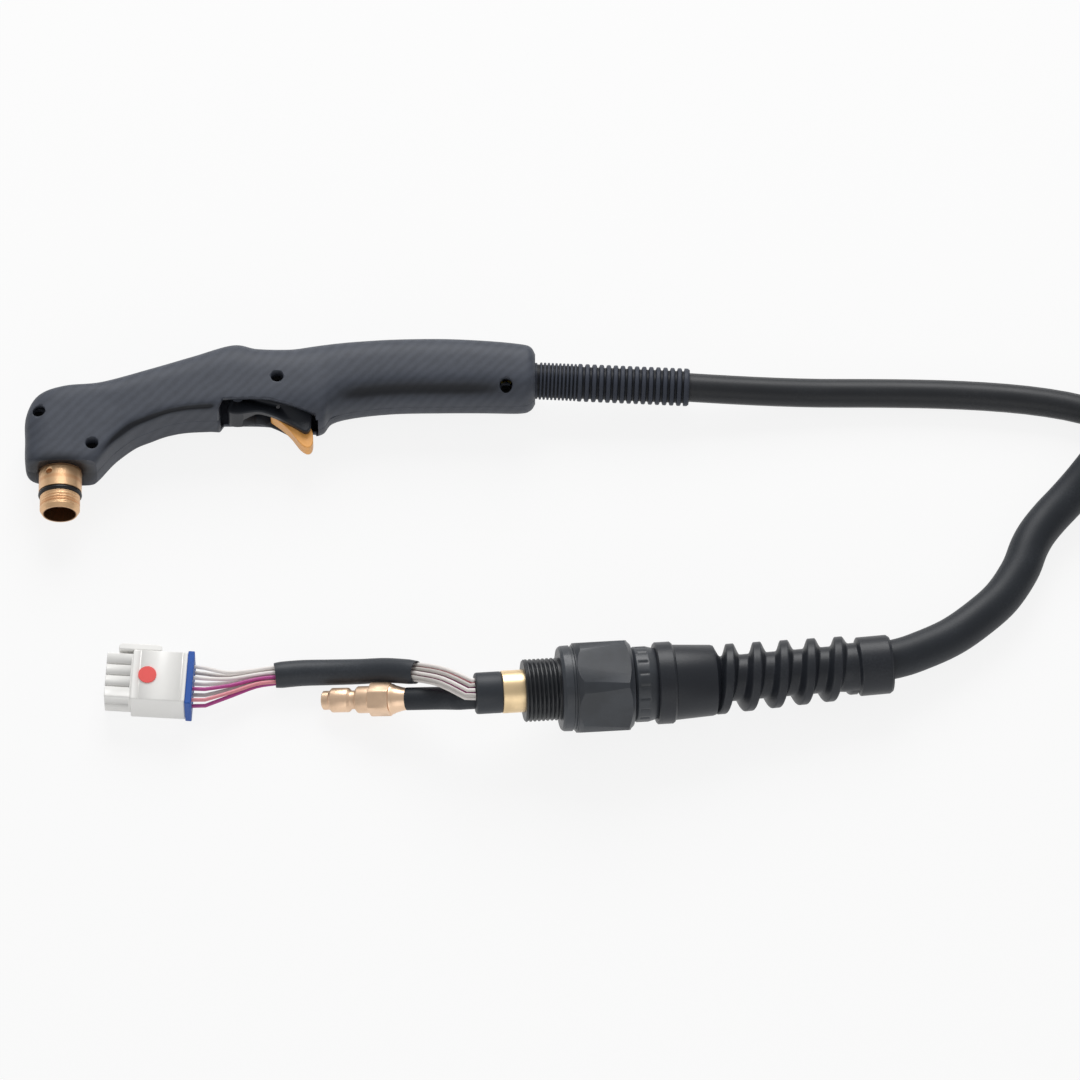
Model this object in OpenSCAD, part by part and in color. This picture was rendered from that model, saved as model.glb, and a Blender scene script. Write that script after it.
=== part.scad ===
// Hand torch with a long lead: pistol handle with a brass head seat, trigger and safety
// lever, ribbed strain reliefs, machine gland with lock nut, gas plug and control plug.
// Millimetres. The torch lies on its side on the plane z = 0, handle along X.

/* [Handle] */
// Overall length of the handle
handle_l = 252; // [236:1:270]
// Half thickness of the grip
grip_half = 16.5; // [16.2:0.1:17.2]
// Wall thickness of the two moulded shells
wall = 2.4; // [2:0.1:2.8]
// Width of the slot for the trigger
bay_w = 17; // [16.6:0.2:19]

/* [Head] */
// Diameter of the brass seat next to the handle
seat_d = 21.2; // [20.8:0.1:21.4]
// Diameter of the thread that takes the retaining cap
thread_d = 19.8; // [19:0.1:20.2]
// How far the seat stands out of the handle
seat_out = 22.9; // [22:0.1:24]

/* [Trigger] */
// Thickness of the trigger
trigger_w = 15; // [13:0.5:15.6]
// Thickness of the safety lever
lever_w = 8; // [6:0.5:8.6]

/* [Lead] */
// Outside diameter of the lead
lead_d = 14.2; // [13.6:0.1:14.2]
// Outside diameter of the rubber sleeve over the machine end of the lead
sleeve_d = 19.2; // [18:0.1:19.3]

/* [Gland] */
// Across the flats of the lock nut
nut_af = 43.6; // [43:0.2:45]
// Diameter of the threaded collar
collar_d = 30.5; // [29:0.1:31.5]
// Diameter of the brass entry tube
tube_d = 20.8; // [20.5:0.1:21.5]

/* [Plugs] */
// Diameter of the gas plug's barrel
plug_d = 12; // [11.6:0.1:12.4]
// Length of the control plug's housing
housing_l = 39.5; // [38:0.5:41]
// Width of the control plug's housing
housing_w = 27; // [26.5:0.5:29]
// Thickness of the control plug's housing
housing_t = 20; // [19.5:0.5:21]
// Diameter of one control wire
wire_d = 2; // [1.6:0.1:2]

/* [Hidden] */
$fn = 64;
mid = grip_half;
half_l = handle_l / 2;

// ---- curves and lofts -----------------------------------------------------------------

// Catmull-Rom value between b and c; a and d are their neighbours
function spline(a, b, c, d, t) =
    0.5 * (2 * b + (c - a) * t + (2 * a - 5 * b + 4 * c - d) * t * t
           + (3 * b - a - 3 * c + d) * t * t * t);
function pick(list, i) = list[max(0, min(len(list) - 1, i))];
// Value at u along a list, where u = 0 is the first entry and len - 1 the last
function along(list, u) =
    let (i = min(floor(u), len(list) - 2), t = u - i)
    spline(pick(list, i - 1), pick(list, i), pick(list, i + 1), pick(list, i + 2), t);
// The list with steps values for each span
function smooth(list, steps) =
    [for (k = [0 : (len(list) - 1) * steps]) along(list, k / steps)];
function unit(v) = v / norm(v);
function path_len(path, i = 0) =
    i > len(path) - 2 ? 0 : norm(path[i + 1] - path[i]) + path_len(path, i + 1);
function tangent(path, i) =
    unit(path[min(i + 1, len(path) - 1)] - path[max(i - 1, 0)]);

// Ring of sides points of radius r round path point i, kept level by the vertical
function ring(path, i, r, sides) =
    let (t = tangent(path, i), side = unit(cross(t, [0, 0, 1])), up = cross(side, t))
    [for (k = [0 : sides - 1])
        let (a = 360 * (k + 0.5) / sides)
        path[i] + r * (cos(a) * side + sin(a) * up)];

// Solid tube swept along a path, with plane ends
module tube_along(path, r, sides) {
    n = len(path);
    points = [for (i = [0 : n - 1]) for (p = ring(path, i, r, sides)) p];
    walls = [for (i = [0 : n - 2]) for (k = [0 : sides - 1])
        let (a = i * sides + k, b = i * sides + (k + 1) % sides)
        for (f = [[a, b, b + sides], [a, b + sides, a + sides]]) f];
    first = [for (k = [sides - 1 : -1 : 0]) k];
    last = [for (k = [0 : sides - 1]) (n - 1) * sides + k];
    polyhedron(points, concat(walls, [first], [last]), convexity = 8);
}

// Hollow hose swept along a path
module hose_along(path, r, bore, sides) {
    n = len(path);
    m = n * sides;
    points = concat(
        [for (i = [0 : n - 1]) for (p = ring(path, i, r, sides)) p],
        [for (i = [0 : n - 1]) for (p = ring(path, i, bore, sides)) p]);
    walls = [for (i = [0 : n - 2]) for (k = [0 : sides - 1])
        let (a = i * sides + k, b = i * sides + (k + 1) % sides)
        for (f = [[a, b, b + sides], [a, b + sides, a + sides],
                  [m + b, m + a, m + b + sides], [m + a, m + a + sides, m + b + sides]]) f];
    rims = [for (k = [0 : sides - 1])
        let (a = k, b = (k + 1) % sides, e = (n - 1) * sides)
        for (f = [[b, a, m + a], [b, m + a, m + b],
                  [e + a, e + b, m + e + a], [e + b, m + e + b, m + e + a]]) f];
    polyhedron(points, concat(walls, rims), convexity = 8);
}

// Profile of [radius, height] points turned about the X axis, height along +X
module turned_x(profile) {
    rotate([0, 90, 0])
        rotate_extrude()
            polygon(profile);
}

// The same about -Y, height measured down from the end face of the head
module turned_head(profile) {
    translate([head_x, head_y, mid])
        rotate([90, 0, 0])
            rotate_extrude()
                polygon(profile);
}

// Helical spring along +X from the origin
module spring_x(r, wire_r, turns, length) {
    rings = 10 * turns;
    path = [for (i = [0 : rings])
        [length * i / rings, r * cos(36 * i), r * sin(36 * i)]];
    n = len(path);
    sides = 5;
    points = [for (i = [0 : n - 1]) for (k = [0 : sides - 1])
        let (t = tangent(path, i), out = unit([0, path[i][1], path[i][2]]),
             n1 = unit(out - (out * t) * t), n2 = cross(t, n1))
        path[i] + wire_r * (cos(72 * k) * n1 + sin(72 * k) * n2)];
    walls = [for (i = [0 : n - 2]) for (k = [0 : sides - 1])
        let (a = i * sides + k, b = i * sides + (k + 1) % sides)
        for (f = [[a, b + sides, b], [a, a + sides, b + sides]]) f];
    first = [for (k = [0 : sides - 1]) k];
    last = [for (k = [sides - 1 : -1 : 0]) (n - 1) * sides + k];
    polyhedron(points, concat(walls, [first], [last]), convexity = 6);
}

// ---- handle ----------------------------------------------------------------------------

head_x = -half_l + 17.7;
head_y = -23.7;

// Cross sections from the head's end face round to the rear, each with its underside
// point, its top point, its half thickness and the powers of its superellipse on the back
// and on the underside
sections = [
    [[-90.4, head_y], [-121.6, head_y], 13.9, 4.2, 6],
    [[-88, -20.6], [-125.4, -21.4], 14.4, 4, 8],
    [[-82.6, -13.9], [-125.9, -9], 14.5, 3.9, 9],
    [[-77, -8.8], [-125.8, 4], 14.6, 3.7, 9],
    [[-70.8, -4.2], [-120.6, 15.2], 14.7, 3.5, 9],
    [[-64, -1.1], [-109, 21], 14.8, 3.3, 9],
    [[-56.5, 2.1], [-90.5, 23.3], 15, 3.1, 9],
    [[-47.8, 4.1], [-66, 30.1], 15.2, 2.9, 9],
    [[-38, 4.8], [-44, 37.5], 15.5, 2.8, 9],
    [[-29, 4.8], [-24, 44.1], 15.8, 2.7, 8],
    [[-13, 3], [-12, 41.9], 16.2, 2.7, 5],
    [[4, 0.2], [4, 41.6], mid, 2.7, 3.4],
    [[15, -0.6], [15, 43.3], mid, 2.7, 2.8],
    [[20.6, 1], [21, 44.2], mid, 2.7, 2.8],
    [[25, 6.8], [28, 44.9], mid, 2.7, 2.9],
    [[36.4, 10], [38, 45.8], mid, 2.7, 3],
    [[56, 12.2], [56, 46.9], mid, 2.7, 3],
    [[80, 12.7], [80, 47.2], mid, 2.7, 3],
    [[102, 12.8], [102, 46], mid, 2.7, 3],
    [[117.8, 13], [117.8, 44.2], 16.4, 2.7, 3],
    [[122.8, 14.7], [122.8, 42.4], 15.7, 2.8, 3],
    [[125, 18], [125, 38.8], 13.4, 2.8, 2.8]
];
section_steps = 2;
arc_steps = 12;
stretch = handle_l / 252;

// Point of a section at an angle from the top edge over the side to the underside
function rim_point(s, a, inset) =
    let (low = s[0], top = s[1], c = (low + top) / 2, axis = unit(top - low),
         reach = norm(top - low) / 2 - inset, u = cos(a), w = sin(a),
         power = u < 0 ? s[4] : s[3], p = c + axis * reach * sign(u) * pow(abs(u), 2 / power))
    [p[0] * stretch, p[1], (s[2] - inset) * pow(max(w, 0), 2 / power)];

// Half shell of the handle above its parting plane, hollow, with closed ends
module half_shell() {
    last = len(sections) - 1;
    n = last * section_steps + 1;
    m = arc_steps + 1;
    end_wall = 0.9;
    outer = [for (i = [0 : n - 1]) for (k = [0 : arc_steps])
        rim_point(along(sections, i / section_steps), 180 * k / arc_steps, 0)];
    inner = [for (i = [0 : n - 1]) for (k = [0 : arc_steps])
        let (u = end_wall + (last - 3 * end_wall) * i / (n - 1))
        rim_point(along(sections, u), 180 * k / arc_steps, wall)];
    q = n * m;
    skins = [for (i = [0 : n - 2]) for (k = [0 : arc_steps - 1])
        let (a = i * m + k)
        for (f = [[a, a + m + 1, a + 1], [a, a + m, a + m + 1],
                  [q + a, q + a + 1, q + a + m + 1], [q + a, q + a + m + 1, q + a + m]]) f];
    parting = [for (i = [0 : n - 2]) for (k = [0, arc_steps])
        let (a = i * m + k, b = a + m)
        for (f = k == 0 ? [[a, q + b, b], [a, q + a, q + b]]
                        : [[b, q + b, a], [a, q + b, q + a]]) f];
    e = (n - 1) * m;
    ends = [
        [for (k = [0 : arc_steps]) k],
        [for (k = [arc_steps : -1 : 0]) e + k],
        [for (k = [arc_steps : -1 : 0]) q + k],
        [for (k = [0 : arc_steps]) q + e + k],
        [0, q + arc_steps, q], [0, arc_steps, q + arc_steps],
        [e, q + e, q + e + arc_steps], [e, q + e + arc_steps, e + arc_steps]
    ];
    polyhedron(concat(outer, inner), concat(skins, parting, ends), convexity = 10);
}

// Screws that close the handle: place, height of the head's seat above the parting plane,
// depth of the shank below it and length of the boss on either side
screw_spots = [
    [-119, 3.8, 4, 7.5, 8], [-92.6, -14.6, 6, 8, 12.6], [-2, 21.5, 8, 9, 14.6],
    [110.7, 18, 5, 6, 8.2]
];
screw_d = 3;
screw_head_d = 5.8;
counterbore_d = 6.4;
boss_d = 8.4;

boot_in = [half_l - 8, 27.3, mid];
boot_seat = half_l - 4.6;
boot_flange_r = 10.8;
seat_hole_r = seat_d / 2 + 0.15;

// Outline of the slot that the trigger moves in, seen from the side
module bay_outline() {
    polygon([[-31.5, -4], [-29.5, 4], [-29.5, 19.5], [18.2, 19.5], [18.2, -4]]);
}

// Line along which the side walls are cut away under the trigger
module wall_cut_outline() {
    polygon([[-33.4, -6], [-31.6, 4.4], [-28.6, 9.4], [-9, 9.4], [2, 7.6], [16.8, 3.4], [18.5, -6]]);
}

// Ribs inside a half shell: saddle for the insulator, perch for the trigger spring and post
// for the start switch
module shell_ribs() {
    translate([-122.5, -8, 0.02])
        cube([27.5, 3, 9.5]);
    translate([-114, -8, 9])
        cube([19, 3, 3.8]);
    translate([-15, perch_y, 0.02])
        cube([6, 2, 14.6]);
    translate([12, 22, 4])
        cube([4.5, 5, 11]);
}

module shell_cuts() {
    translate([0, 0, -bay_w / 2])
        linear_extrude(bay_w)
            bay_outline();
    translate([0, 0, -20])
        linear_extrude(40)
            wall_cut_outline();
    translate([head_x, head_y + 6, 0])
        rotate([90, 0, 0])
            cylinder(r = seat_hole_r, h = 12);
    translate([head_x, head_y + 22, 0])
        rotate([90, 0, 0])
            cylinder(d = insulator_d, h = 18.6);
    translate([head_x, head_y + 30.5, 0])
        rotate([90, 0, 0])
            cylinder(d = insulator_neck + 0.1, h = 8.6);
    translate([112, boot_in[1], 0])
        rotate([0, 90, 0])
            cylinder(r = 9.1, h = 20);
    translate([112, boot_in[1], 0])
        rotate([0, 90, 0])
            cylinder(r = boot_flange_r + 0.1, h = boot_seat - 112);
}

trigger_pivot = [-21.5, 14.5];
pin_r = 1.5;
perch_y = 26.3;

module handle_shell_upper() {
    color([0.31, 0.33, 0.37])
        translate([0, 0, mid])
            difference() {
                union() {
                    half_shell();
                    for (s = screw_spots)
                        translate([s[0], s[1], 0.02])
                            cylinder(d = boss_d, h = s[4]);
                    translate([trigger_pivot[0], trigger_pivot[1], bay_w / 2])
                        cylinder(r = 3.4, h = 14.7 - bay_w / 2);
                    shell_ribs();
                }
                shell_cuts();
                for (s = screw_spots) {
                    translate([s[0], s[1], s[2]])
                        cylinder(d = counterbore_d, h = 20);
                    translate([s[0], s[1], -1])
                        cylinder(d = screw_d + 0.3, h = s[2] + 2);
                }
                translate([trigger_pivot[0], trigger_pivot[1], bay_w / 2 - 1])
                    cylinder(r = pin_r, h = 4);
            }
}

module handle_shell_lower() {
    color([0.29, 0.31, 0.35])
        translate([0, 0, mid])
            mirror([0, 0, 1])
                difference() {
                    union() {
                        half_shell();
                        for (s = screw_spots)
                            translate([s[0], s[1], 0.02])
                                cylinder(d = boss_d - 1.2, h = s[4]);
                        translate([trigger_pivot[0], trigger_pivot[1], bay_w / 2])
                            cylinder(r = 3.4, h = 14.7 - bay_w / 2);
                        shell_ribs();
                    }
                    shell_cuts();
                    for (s = screw_spots)
                        translate([s[0], s[1], -1])
                            cylinder(d = screw_d, h = s[3] + 1);
                    translate([trigger_pivot[0], trigger_pivot[1], bay_w / 2 - 1])
                        cylinder(r = pin_r, h = 4);
                }
}

// Pan head screws with a hexagon socket, one solid each
module handle_screws() {
    color([0.2, 0.2, 0.21])
        for (s = screw_spots)
            translate([s[0], s[1], mid])
                difference() {
                    union() {
                        translate([0, 0, s[2]])
                            cylinder(d = screw_head_d, h = 2.2);
                        translate([0, 0, 0.4 - s[3]])
                            cylinder(d = screw_d, h = s[2] + s[3]);
                    }
                    translate([0, 0, s[2] + 0.9])
                        cylinder(d = 2.6, h = 3, $fn = 6);
                }
}

// ---- head ------------------------------------------------------------------------------

insulator_d = 22.6;
insulator_top = -30;
cathode_r = 4.6;
insulator_neck = 17.2;
plunger_r = 2.5;
// Depth of the seat's open cup from its rim
cup_depth = 14;
o_ring_at = 12.6;
o_ring_r = 1.1;
o_ring_floor = 8.6;

// Hole for the rod that senses the retaining cap
module cap_rod_hole(r) {
    translate([cap_rod[0], head_y - 16, cap_rod[1]])
        rotate([-90, 0, 0])
            cylinder(r = r, h = 60);
}

// Insulator that holds the brass parts, above the seat inside the handle
module head_insulator() {
    color([0.16, 0.16, 0.17])
        difference() {
            turned_head([
                [cathode_r, -3.4], [cathode_r, insulator_top], [insulator_neck / 2, insulator_top],
                [insulator_neck / 2, -24.7], [insulator_d / 2, -22], [insulator_d / 2, -3.4]
            ]);
            cap_rod_hole(cap_rod_r + 0.03);
        }
}

module head_seat() {
    color([0.80, 0.60, 0.36])
        difference() {
            turned_head(seat_profile());
            translate([head_x - 5.2, head_y - 3.4, mid + 6])
                cylinder(r = 1.5, h = 8);
            cap_rod_hole(cap_rod_r + 0.03);
        }
}

// Outline of the seat: collar, groove, thread relief lines and a chamfered rim, then the cup
function seat_profile() =
    let (r = seat_d / 2, t = thread_d / 2, tip = seat_out, cup = t - 2.1,
         thread_pitch = 1.5, thread_depth = 0.35, first = o_ring_at + 2.4)
    concat(
        [[cathode_r, -3.4], [r - 0.3, -3.4], [r - 0.3, 0.4], [r, 0.8],
         [r, o_ring_at - 1.3], [o_ring_floor, o_ring_at - 1.3],
         [o_ring_floor, o_ring_at + 1.3], [t, o_ring_at + 1.3]],
        [for (i = [0 : 3]) for (p = [[0, 0], [-thread_depth, 0.4], [0, 0.8]])
            [t + p[0], first + thread_pitch * i + p[1]]],
        [[t, tip - 2], [t - 1.25, tip], [cup, tip], [cup, tip - cup_depth],
         [cathode_r, tip - cup_depth - 1]]);

module head_o_ring() {
    color([0.09, 0.09, 0.1])
        translate([head_x, head_y - o_ring_at, mid])
            rotate([90, 0, 0])
                rotate_extrude()
                    translate([o_ring_floor + o_ring_r, 0])
                        circle(r = o_ring_r, $fn = 32);
}

// Copper cathode sleeve in which the contact plunger slides
module cathode() {
    color([0.72, 0.45, 0.30])
        turned_head([
            [plunger_r + 0.04, 16], [plunger_r + 0.04, -27], [0, -27], [0, -33], [3, -33],
            [3, insulator_top], [cathode_r, insulator_top], [cathode_r, 14.6], [cathode_r - 0.8, 16]
        ]);
}

module contact_plunger() {
    color([0.83, 0.68, 0.42])
        turned_head([[0, -14], [plunger_r, -14], [plunger_r, 17.4], [plunger_r - 0.9, 18.6], [0, 18.6]]);
}

module plunger_spring() {
    color([0.7, 0.7, 0.72])
        translate([head_x, head_y + 26.65, mid])
            rotate([0, 0, -90])
                spring_x(1.8, 0.3, 7, 12.3);
}

// Switch that senses the retaining cap, on the insulator, with its push rod
cap_rod = [head_x, mid - 6.4];
cap_rod_r = 1;
module cap_switch() {
    color([0.13, 0.13, 0.14])
        difference() {
            translate([cap_rod[0] - 3.4, head_y - insulator_top, cap_rod[1] - 3.1])
                cube([6.8, 6, 6.2]);
            translate([cap_rod[0], head_y - insulator_top - 1, cap_rod[1]])
                rotate([-90, 0, 0])
                    cylinder(r = cap_rod_r + 0.03, h = 5);
        }
}

module cap_plunger() {
    color([0.85, 0.85, 0.82])
        translate([cap_rod[0], head_y - 10.9, cap_rod[1]])
            rotate([-90, 0, 0])
                cylinder(r = cap_rod_r, h = 42.9);
}

// ---- gas and power inside the handle ---------------------------------------------------

gas_points = [
    [head_x, head_y + 33, mid], [head_x, head_y + 36, mid], [-104, 16.8, mid], [-92, 18, mid],
    [-74, 20, mid], [-52, 26, mid], [-30, 33.2, mid], [-6, 33.6, mid], [20, 33.8, mid],
    [50, 34.2, mid], [84, 32.8, mid], [106, 30.6, mid], [114, 30.2, mid], [boot_in[0], 30.2, mid]
];

module gas_tube() {
    color([0.78, 0.48, 0.32])
        tube_along(gas_points, 2.9, 10);
}

pilot_points = [
    [-102.6, head_y - insulator_top, 21.6], [-102.6, 10, 21.7], [-98.4, 14, 22.2],
    [-88, 16.6, 22.6], [-70, 20, 22.6], [-50, 25.6, 22.6], [-26, 31, 22.6], [20, 31.2, 22.6],
    [60, 30.6, 22.4], [100, 29, 21.6], [113, 28.4, 21], [boot_in[0], 28.4, 21]
];

module pilot_wire() {
    color([0.75, 0.12, 0.10])
        tube_along(pilot_points, 1.2, 8);
}

// ---- trigger and safety lever ----------------------------------------------------------

lever_pivot = [-1.5, 9];

// Outline of the trigger, seen from the side: boss at the front, hollow finger side
module trigger_outline() {
    difference() {
        union() {
            translate(trigger_pivot)
                circle(r = 4.2, $fn = 48);
            polygon([
                [-25.2, 12.5], [-26.4, 8.2], [-25, 5.8], [-21, 5.2], [-16, 6], [-11, 6.4],
                [-6.5, 5.3], [-2, 3.4], [3, 0.6], [8, -2.4], [11.6, -4.7], [13.6, -4.4],
                [14.7, -2], [15, 4], [15, 8.6], [13, 10.6], [2, 13.6], [-10, 15.4], [-20, 18.2]
            ]);
        }
        translate(trigger_pivot)
            circle(r = pin_r + 0.04, $fn = 48);
    }
}

module trigger() {
    color([0.25, 0.26, 0.28])
        difference() {
            translate([0, 0, mid - trigger_w / 2])
                linear_extrude(trigger_w)
                    trigger_outline();
            translate([0, 0, mid - lever_w / 2 - 0.4])
                linear_extrude(lever_w + 0.8)
                    polygon([[-7.4, -8], [-7.4, 12.2], [4, 12.2], [16, 8.2], [16, -8]]);
            translate([lever_pivot[0], lever_pivot[1], 0])
                cylinder(r = 1, h = 40);
        }
}

module trigger_pin() {
    color([0.7, 0.7, 0.72])
        translate([trigger_pivot[0], trigger_pivot[1], mid - bay_w / 2 - 2.8])
            cylinder(r = pin_r, h = bay_w + 5.6);
}

// Return spring between the trigger and the roof of its slot
trigger_spring_at = [-12, 17];
module trigger_spring() {
    color([0.72, 0.72, 0.74])
        translate([trigger_spring_at[0], trigger_spring_at[1], mid])
            rotate([0, 0, 90])
                spring_x(2, 0.35, 4, perch_y - 0.37 - trigger_spring_at[1]);
}

// Orange lever that has to be flipped before the trigger is squeezed
module safety_lever() {
    color([1, 0.62, 0.28])
        difference() {
            translate([0, 0, mid - lever_w / 2])
                linear_extrude(lever_w)
                    union() {
                        translate(lever_pivot)
                            circle(r = 2.6, $fn = 40);
                        polygon([
                            [-4.1, 9.8], [-4.1, 7.2], [-5.2, 6], [0, 1.8], [4.6, -2.8], [7.2, -6.4],
                            [9.6, -9.6], [12.4, -11.6], [14.6, -11.2], [15.7, -8.6], [15.6, -4],
                            [14.6, -1], [9, 3.6], [3.4, 7.4], [0.8, 10.2]
                        ]);
                    }
            translate([lever_pivot[0], lever_pivot[1], 0])
                cylinder(r = 1.04, h = 40);
        }
}

module lever_pin() {
    color([0.7, 0.7, 0.72])
        translate([lever_pivot[0], lever_pivot[1], mid - trigger_w / 2])
            cylinder(r = 1, h = trigger_w);
}

module lever_spring() {
    color([0.72, 0.72, 0.74])
        translate([-7.19, lever_pivot[1] - 0.4, mid])
            spring_x(0.8, 0.2, 3, 2.9);
}

// Microswitch above the trigger's rear end, with the button that the trigger pushes
switch_at = [5.2, 20.2];
button_x = 9.2;
module start_switch() {
    color([0.12, 0.12, 0.13])
        difference() {
            translate([switch_at[0], switch_at[1], mid - 4])
                cube([12.6, 8.4, 8]);
            translate([button_x, switch_at[1] - 1, mid])
                rotate([-90, 0, 0])
                    cylinder(r = 1.25, h = 7.6);
        }
}

module switch_plunger() {
    color([0.82, 0.3, 0.2])
        translate([button_x, 12.15, mid])
            rotate([-90, 0, 0])
                cylinder(r = 1.2, h = 10);
}

wire_lanes = [-1, 1];
module switch_wires() {
    color([0.85, 0.82, 0.3])
        for (k = wire_lanes)
            tube_along([
                [switch_at[0] + 12.6, 25, mid + 2 * k], [24, 25, mid + 2 * k],
                [40, 24.2, mid + 2.7 * k], [75, 24.2, mid + 2.7 * k], [96, 24.6, mid + 2.9 * k],
                [112, 25, mid + 3 * k], [boot_in[0], 25, mid + 3 * k]
            ], 0.8, 8);
}

// Crimped splices on the switch wires
module wire_crimps() {
    color([0.75, 0.76, 0.78])
        for (k = wire_lanes)
            translate([52, 24.2, mid + 2.7 * k])
                rotate([0, 90, 0])
                    difference() {
                        cylinder(r = 1.5, h = 9);
                        translate([0, 0, -1])
                            cylinder(r = 0.8, h = 11);
                    }
}

// ---- front boot and lead ---------------------------------------------------------------

lead_r = lead_d / 2;
boot_turn = [0, 1.9, -1.8];
boot_axis = [0.999, -0.0314, -0.0332];
boot_out = 75;
boot_bend = [half_l, boot_in[1], boot_in[2]];

// Bend relief with fine rings near the handle and coarse ones behind them
function ridge_profile(start, pitch, count, crest, valley) =
    [for (i = [0 : count - 1]) for (p = [[crest, 0], [crest, 0.5], [valley, 0.62], [valley, 0.88]])
        [p[0], start + pitch * (i + p[1])]];

module front_boot() {
    color([0.13, 0.13, 0.14])
        difference() {
            union() {
                translate(boot_in)
                    turned_x([[0, 0], [boot_flange_r, 0], [boot_flange_r, boot_seat - boot_in[0]],
                              [8.9, boot_seat - boot_in[0]], [8.9, 8.1], [0, 8.1]]);
                translate(boot_bend)
                    rotate(boot_turn)
                        turned_x(concat(
                            [[0, -0.5], [8.2, -0.5], [8.2, 1]],
                            ridge_profile(1.1, 1.89, 10, 9.2, 8.2),
                            ridge_profile(20, 3.5, 15, 9.3, 7.9),
                            [[9.3, 72.6], [9.3, 74.4], [8.8, boot_out], [0, boot_out]]));
            }
            translate([boot_in[0] - 1, boot_in[1], boot_in[2]])
                rotate([0, 90, 0])
                    cylinder(r = lead_r + 0.5, h = 9.4);
            translate(boot_bend)
                rotate(boot_turn)
                    rotate([0, 90, 0])
                        cylinder(r = lead_r, h = boot_out + 1);
        }
}

// Route of the lead from the handle to the coil
torch_route = [
    boot_in, boot_bend, boot_bend + 37.5 * boot_axis, boot_bend + boot_out * boot_axis,
    [222, 24.4, 12.4], [244, 24.4, 10.2], [266, 24.8, 8.2], [290, 25.2, 7.3],
    [314, 25, 7.1], [336, 24.2, 7.1], [358, 22.6, 7.1], [378, 20, 7.1], [396, 16, 7.1],
    [412, 9.8, 7.1], [426, 1.2, 7.1], [438, -9.8, 7.2], [448.4, -22, 7.6], [457.4, -34.4, 8.1]
];

// Route of the lead from the coil to the rear boot; it crosses over the torch run
free_route = [
    [462.9, 55.1, 23.1], [450, 39.7, 23.1], [437.2, 24.4, 23.1], [424.3, 9.1, 22.6],
    [412, -5.5, 20.6], [403, -16.4, 17], [394, -27, 13.2], [386, -36, 11], [378, -44.8, 9.9],
    [371.6, -53.4, 9.7], [367.3, -61.7, 9.7], [362.6, -74.2, 9.7], [353.6, -88.8, 9.7],
    [341.8, -100.4, 9.7], [328.8, -110.6, 10.3], [314.4, -118.9, 12.4], [300.5, -124.9, 14.4]
];
sleeve_from = 5;

// Round coil of the lead, in two layers: where its lead comes in and goes out, in degrees
coil_c = [586, 4];
coil_in = 62.5;
coil_pitch = 14.7;
layer_h = 14.7;
strap_t = 1.2;
coil_from = 215;
coil_to = 140;
coil_total = 8 + (coil_to + 360 - coil_from) / 360;
layer_turns = coil_total / 2;
coil_out = coil_in + coil_pitch * layer_turns;
coil_z = lead_r + strap_t + 0.1;
coil_rings = 24;

// Centreline of the coil at a number of turns: in on the lower layer, out on the upper
function coil_point(t) =
    let (turned = abs(t - layer_turns), r = coil_in + coil_pitch * turned,
         a = coil_from + 360 * t,
         climb = max(0, min(1, 2 * (t - layer_turns) + 0.5)),
         z = coil_z + layer_h * climb * climb * (3 - 2 * climb))
    [coil_c[0] + r * cos(a), coil_c[1] + r * sin(a), z];
coil_steps = ceil(coil_total * coil_rings);
coil_path = [for (i = [0 : coil_steps]) coil_point(coil_total * i / coil_steps)];
coil_start = coil_path[0];
coil_end = coil_path[coil_steps];
coil_in_dir = [cos(coil_from + 90), sin(coil_from + 90), 0];
coil_out_dir = [cos(coil_from + 360 * coil_total + 90), sin(coil_from + 360 * coil_total + 90), 0];
coil_full = concat([coil_start - coil_in_dir * lead_d], coil_path,
                   [coil_end + coil_out_dir * lead_d]);

// Least distance between the coil's surface and itself, a third of a turn or more apart
coil_gap = min([for (i = [0 : 2 : coil_steps - 8]) for (j = [i + 8 : 1 : coil_steps])
    norm(coil_path[i] - coil_path[j])]) - lead_d;
echo(coil_gap = coil_gap);

module lead_torch_run() {
    color([0.14, 0.14, 0.15])
        tube_along(concat(torch_route, [coil_full[0]]), lead_r, 12);
}

module lead_coil() {
    color([0.14, 0.14, 0.15])
        tube_along(coil_full, lead_r, 6);
}

module lead_machine_run() {
    color([0.14, 0.14, 0.15])
        tube_along(concat([coil_full[len(coil_full) - 1]], machine_route), lead_r, 12);
}

// Straps that hold the coil's turns together, one round each side of it
tie_angles = [60, 180, 300];
tie_w = 16;

// Outermost radius of the coil's centreline at an angle, on either layer
function reach_at(a) =
    let (down = (a - coil_from + 720) % 360 / 360, up = (coil_to - a + 720) % 360 / 360)
    coil_out - coil_pitch * min(down, up);

module strap_outline(from, to, low, high, r) {
    hull()
        for (x = [from + r, to - r])
            for (z = [low + r, high - r])
                translate([x, z])
                    circle(r = r, $fn = 24);
}

module lead_ties() {
    gap = 0.3;
    color([0.18, 0.18, 0.2])
        for (a = tie_angles) {
            from = coil_in - lead_r - gap;
            to = reach_at(a) + lead_r + gap;
            low = strap_t;
            high = coil_z + layer_h + lead_r + gap;
            translate([coil_c[0], coil_c[1], 0])
                rotate([0, 0, a])
                    translate([0, tie_w / 2, 0])
                        rotate([90, 0, 0])
                            linear_extrude(tie_w)
                                difference() {
                                    strap_outline(from - strap_t, to + strap_t,
                                                  low - strap_t, high + strap_t, 8.2);
                                    strap_outline(from, to, low, high, 7);
                                }
        }
}

// Rubber sleeve over the machine end of the lead
module lead_sleeve() {
    color([0.15, 0.15, 0.16])
        hose_along([for (i = [sleeve_from : len(free_route)]) machine_route[i]],
                   sleeve_d / 2, lead_r + 0.02, 12);
}

// ---- machine gland ---------------------------------------------------------------------

gland_c = [158.3, -145.2, 25.4];
gland_turn = [0, 4.56, 5.85];
gland_axis = [0.9916, 0.1016, -0.0795];

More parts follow.
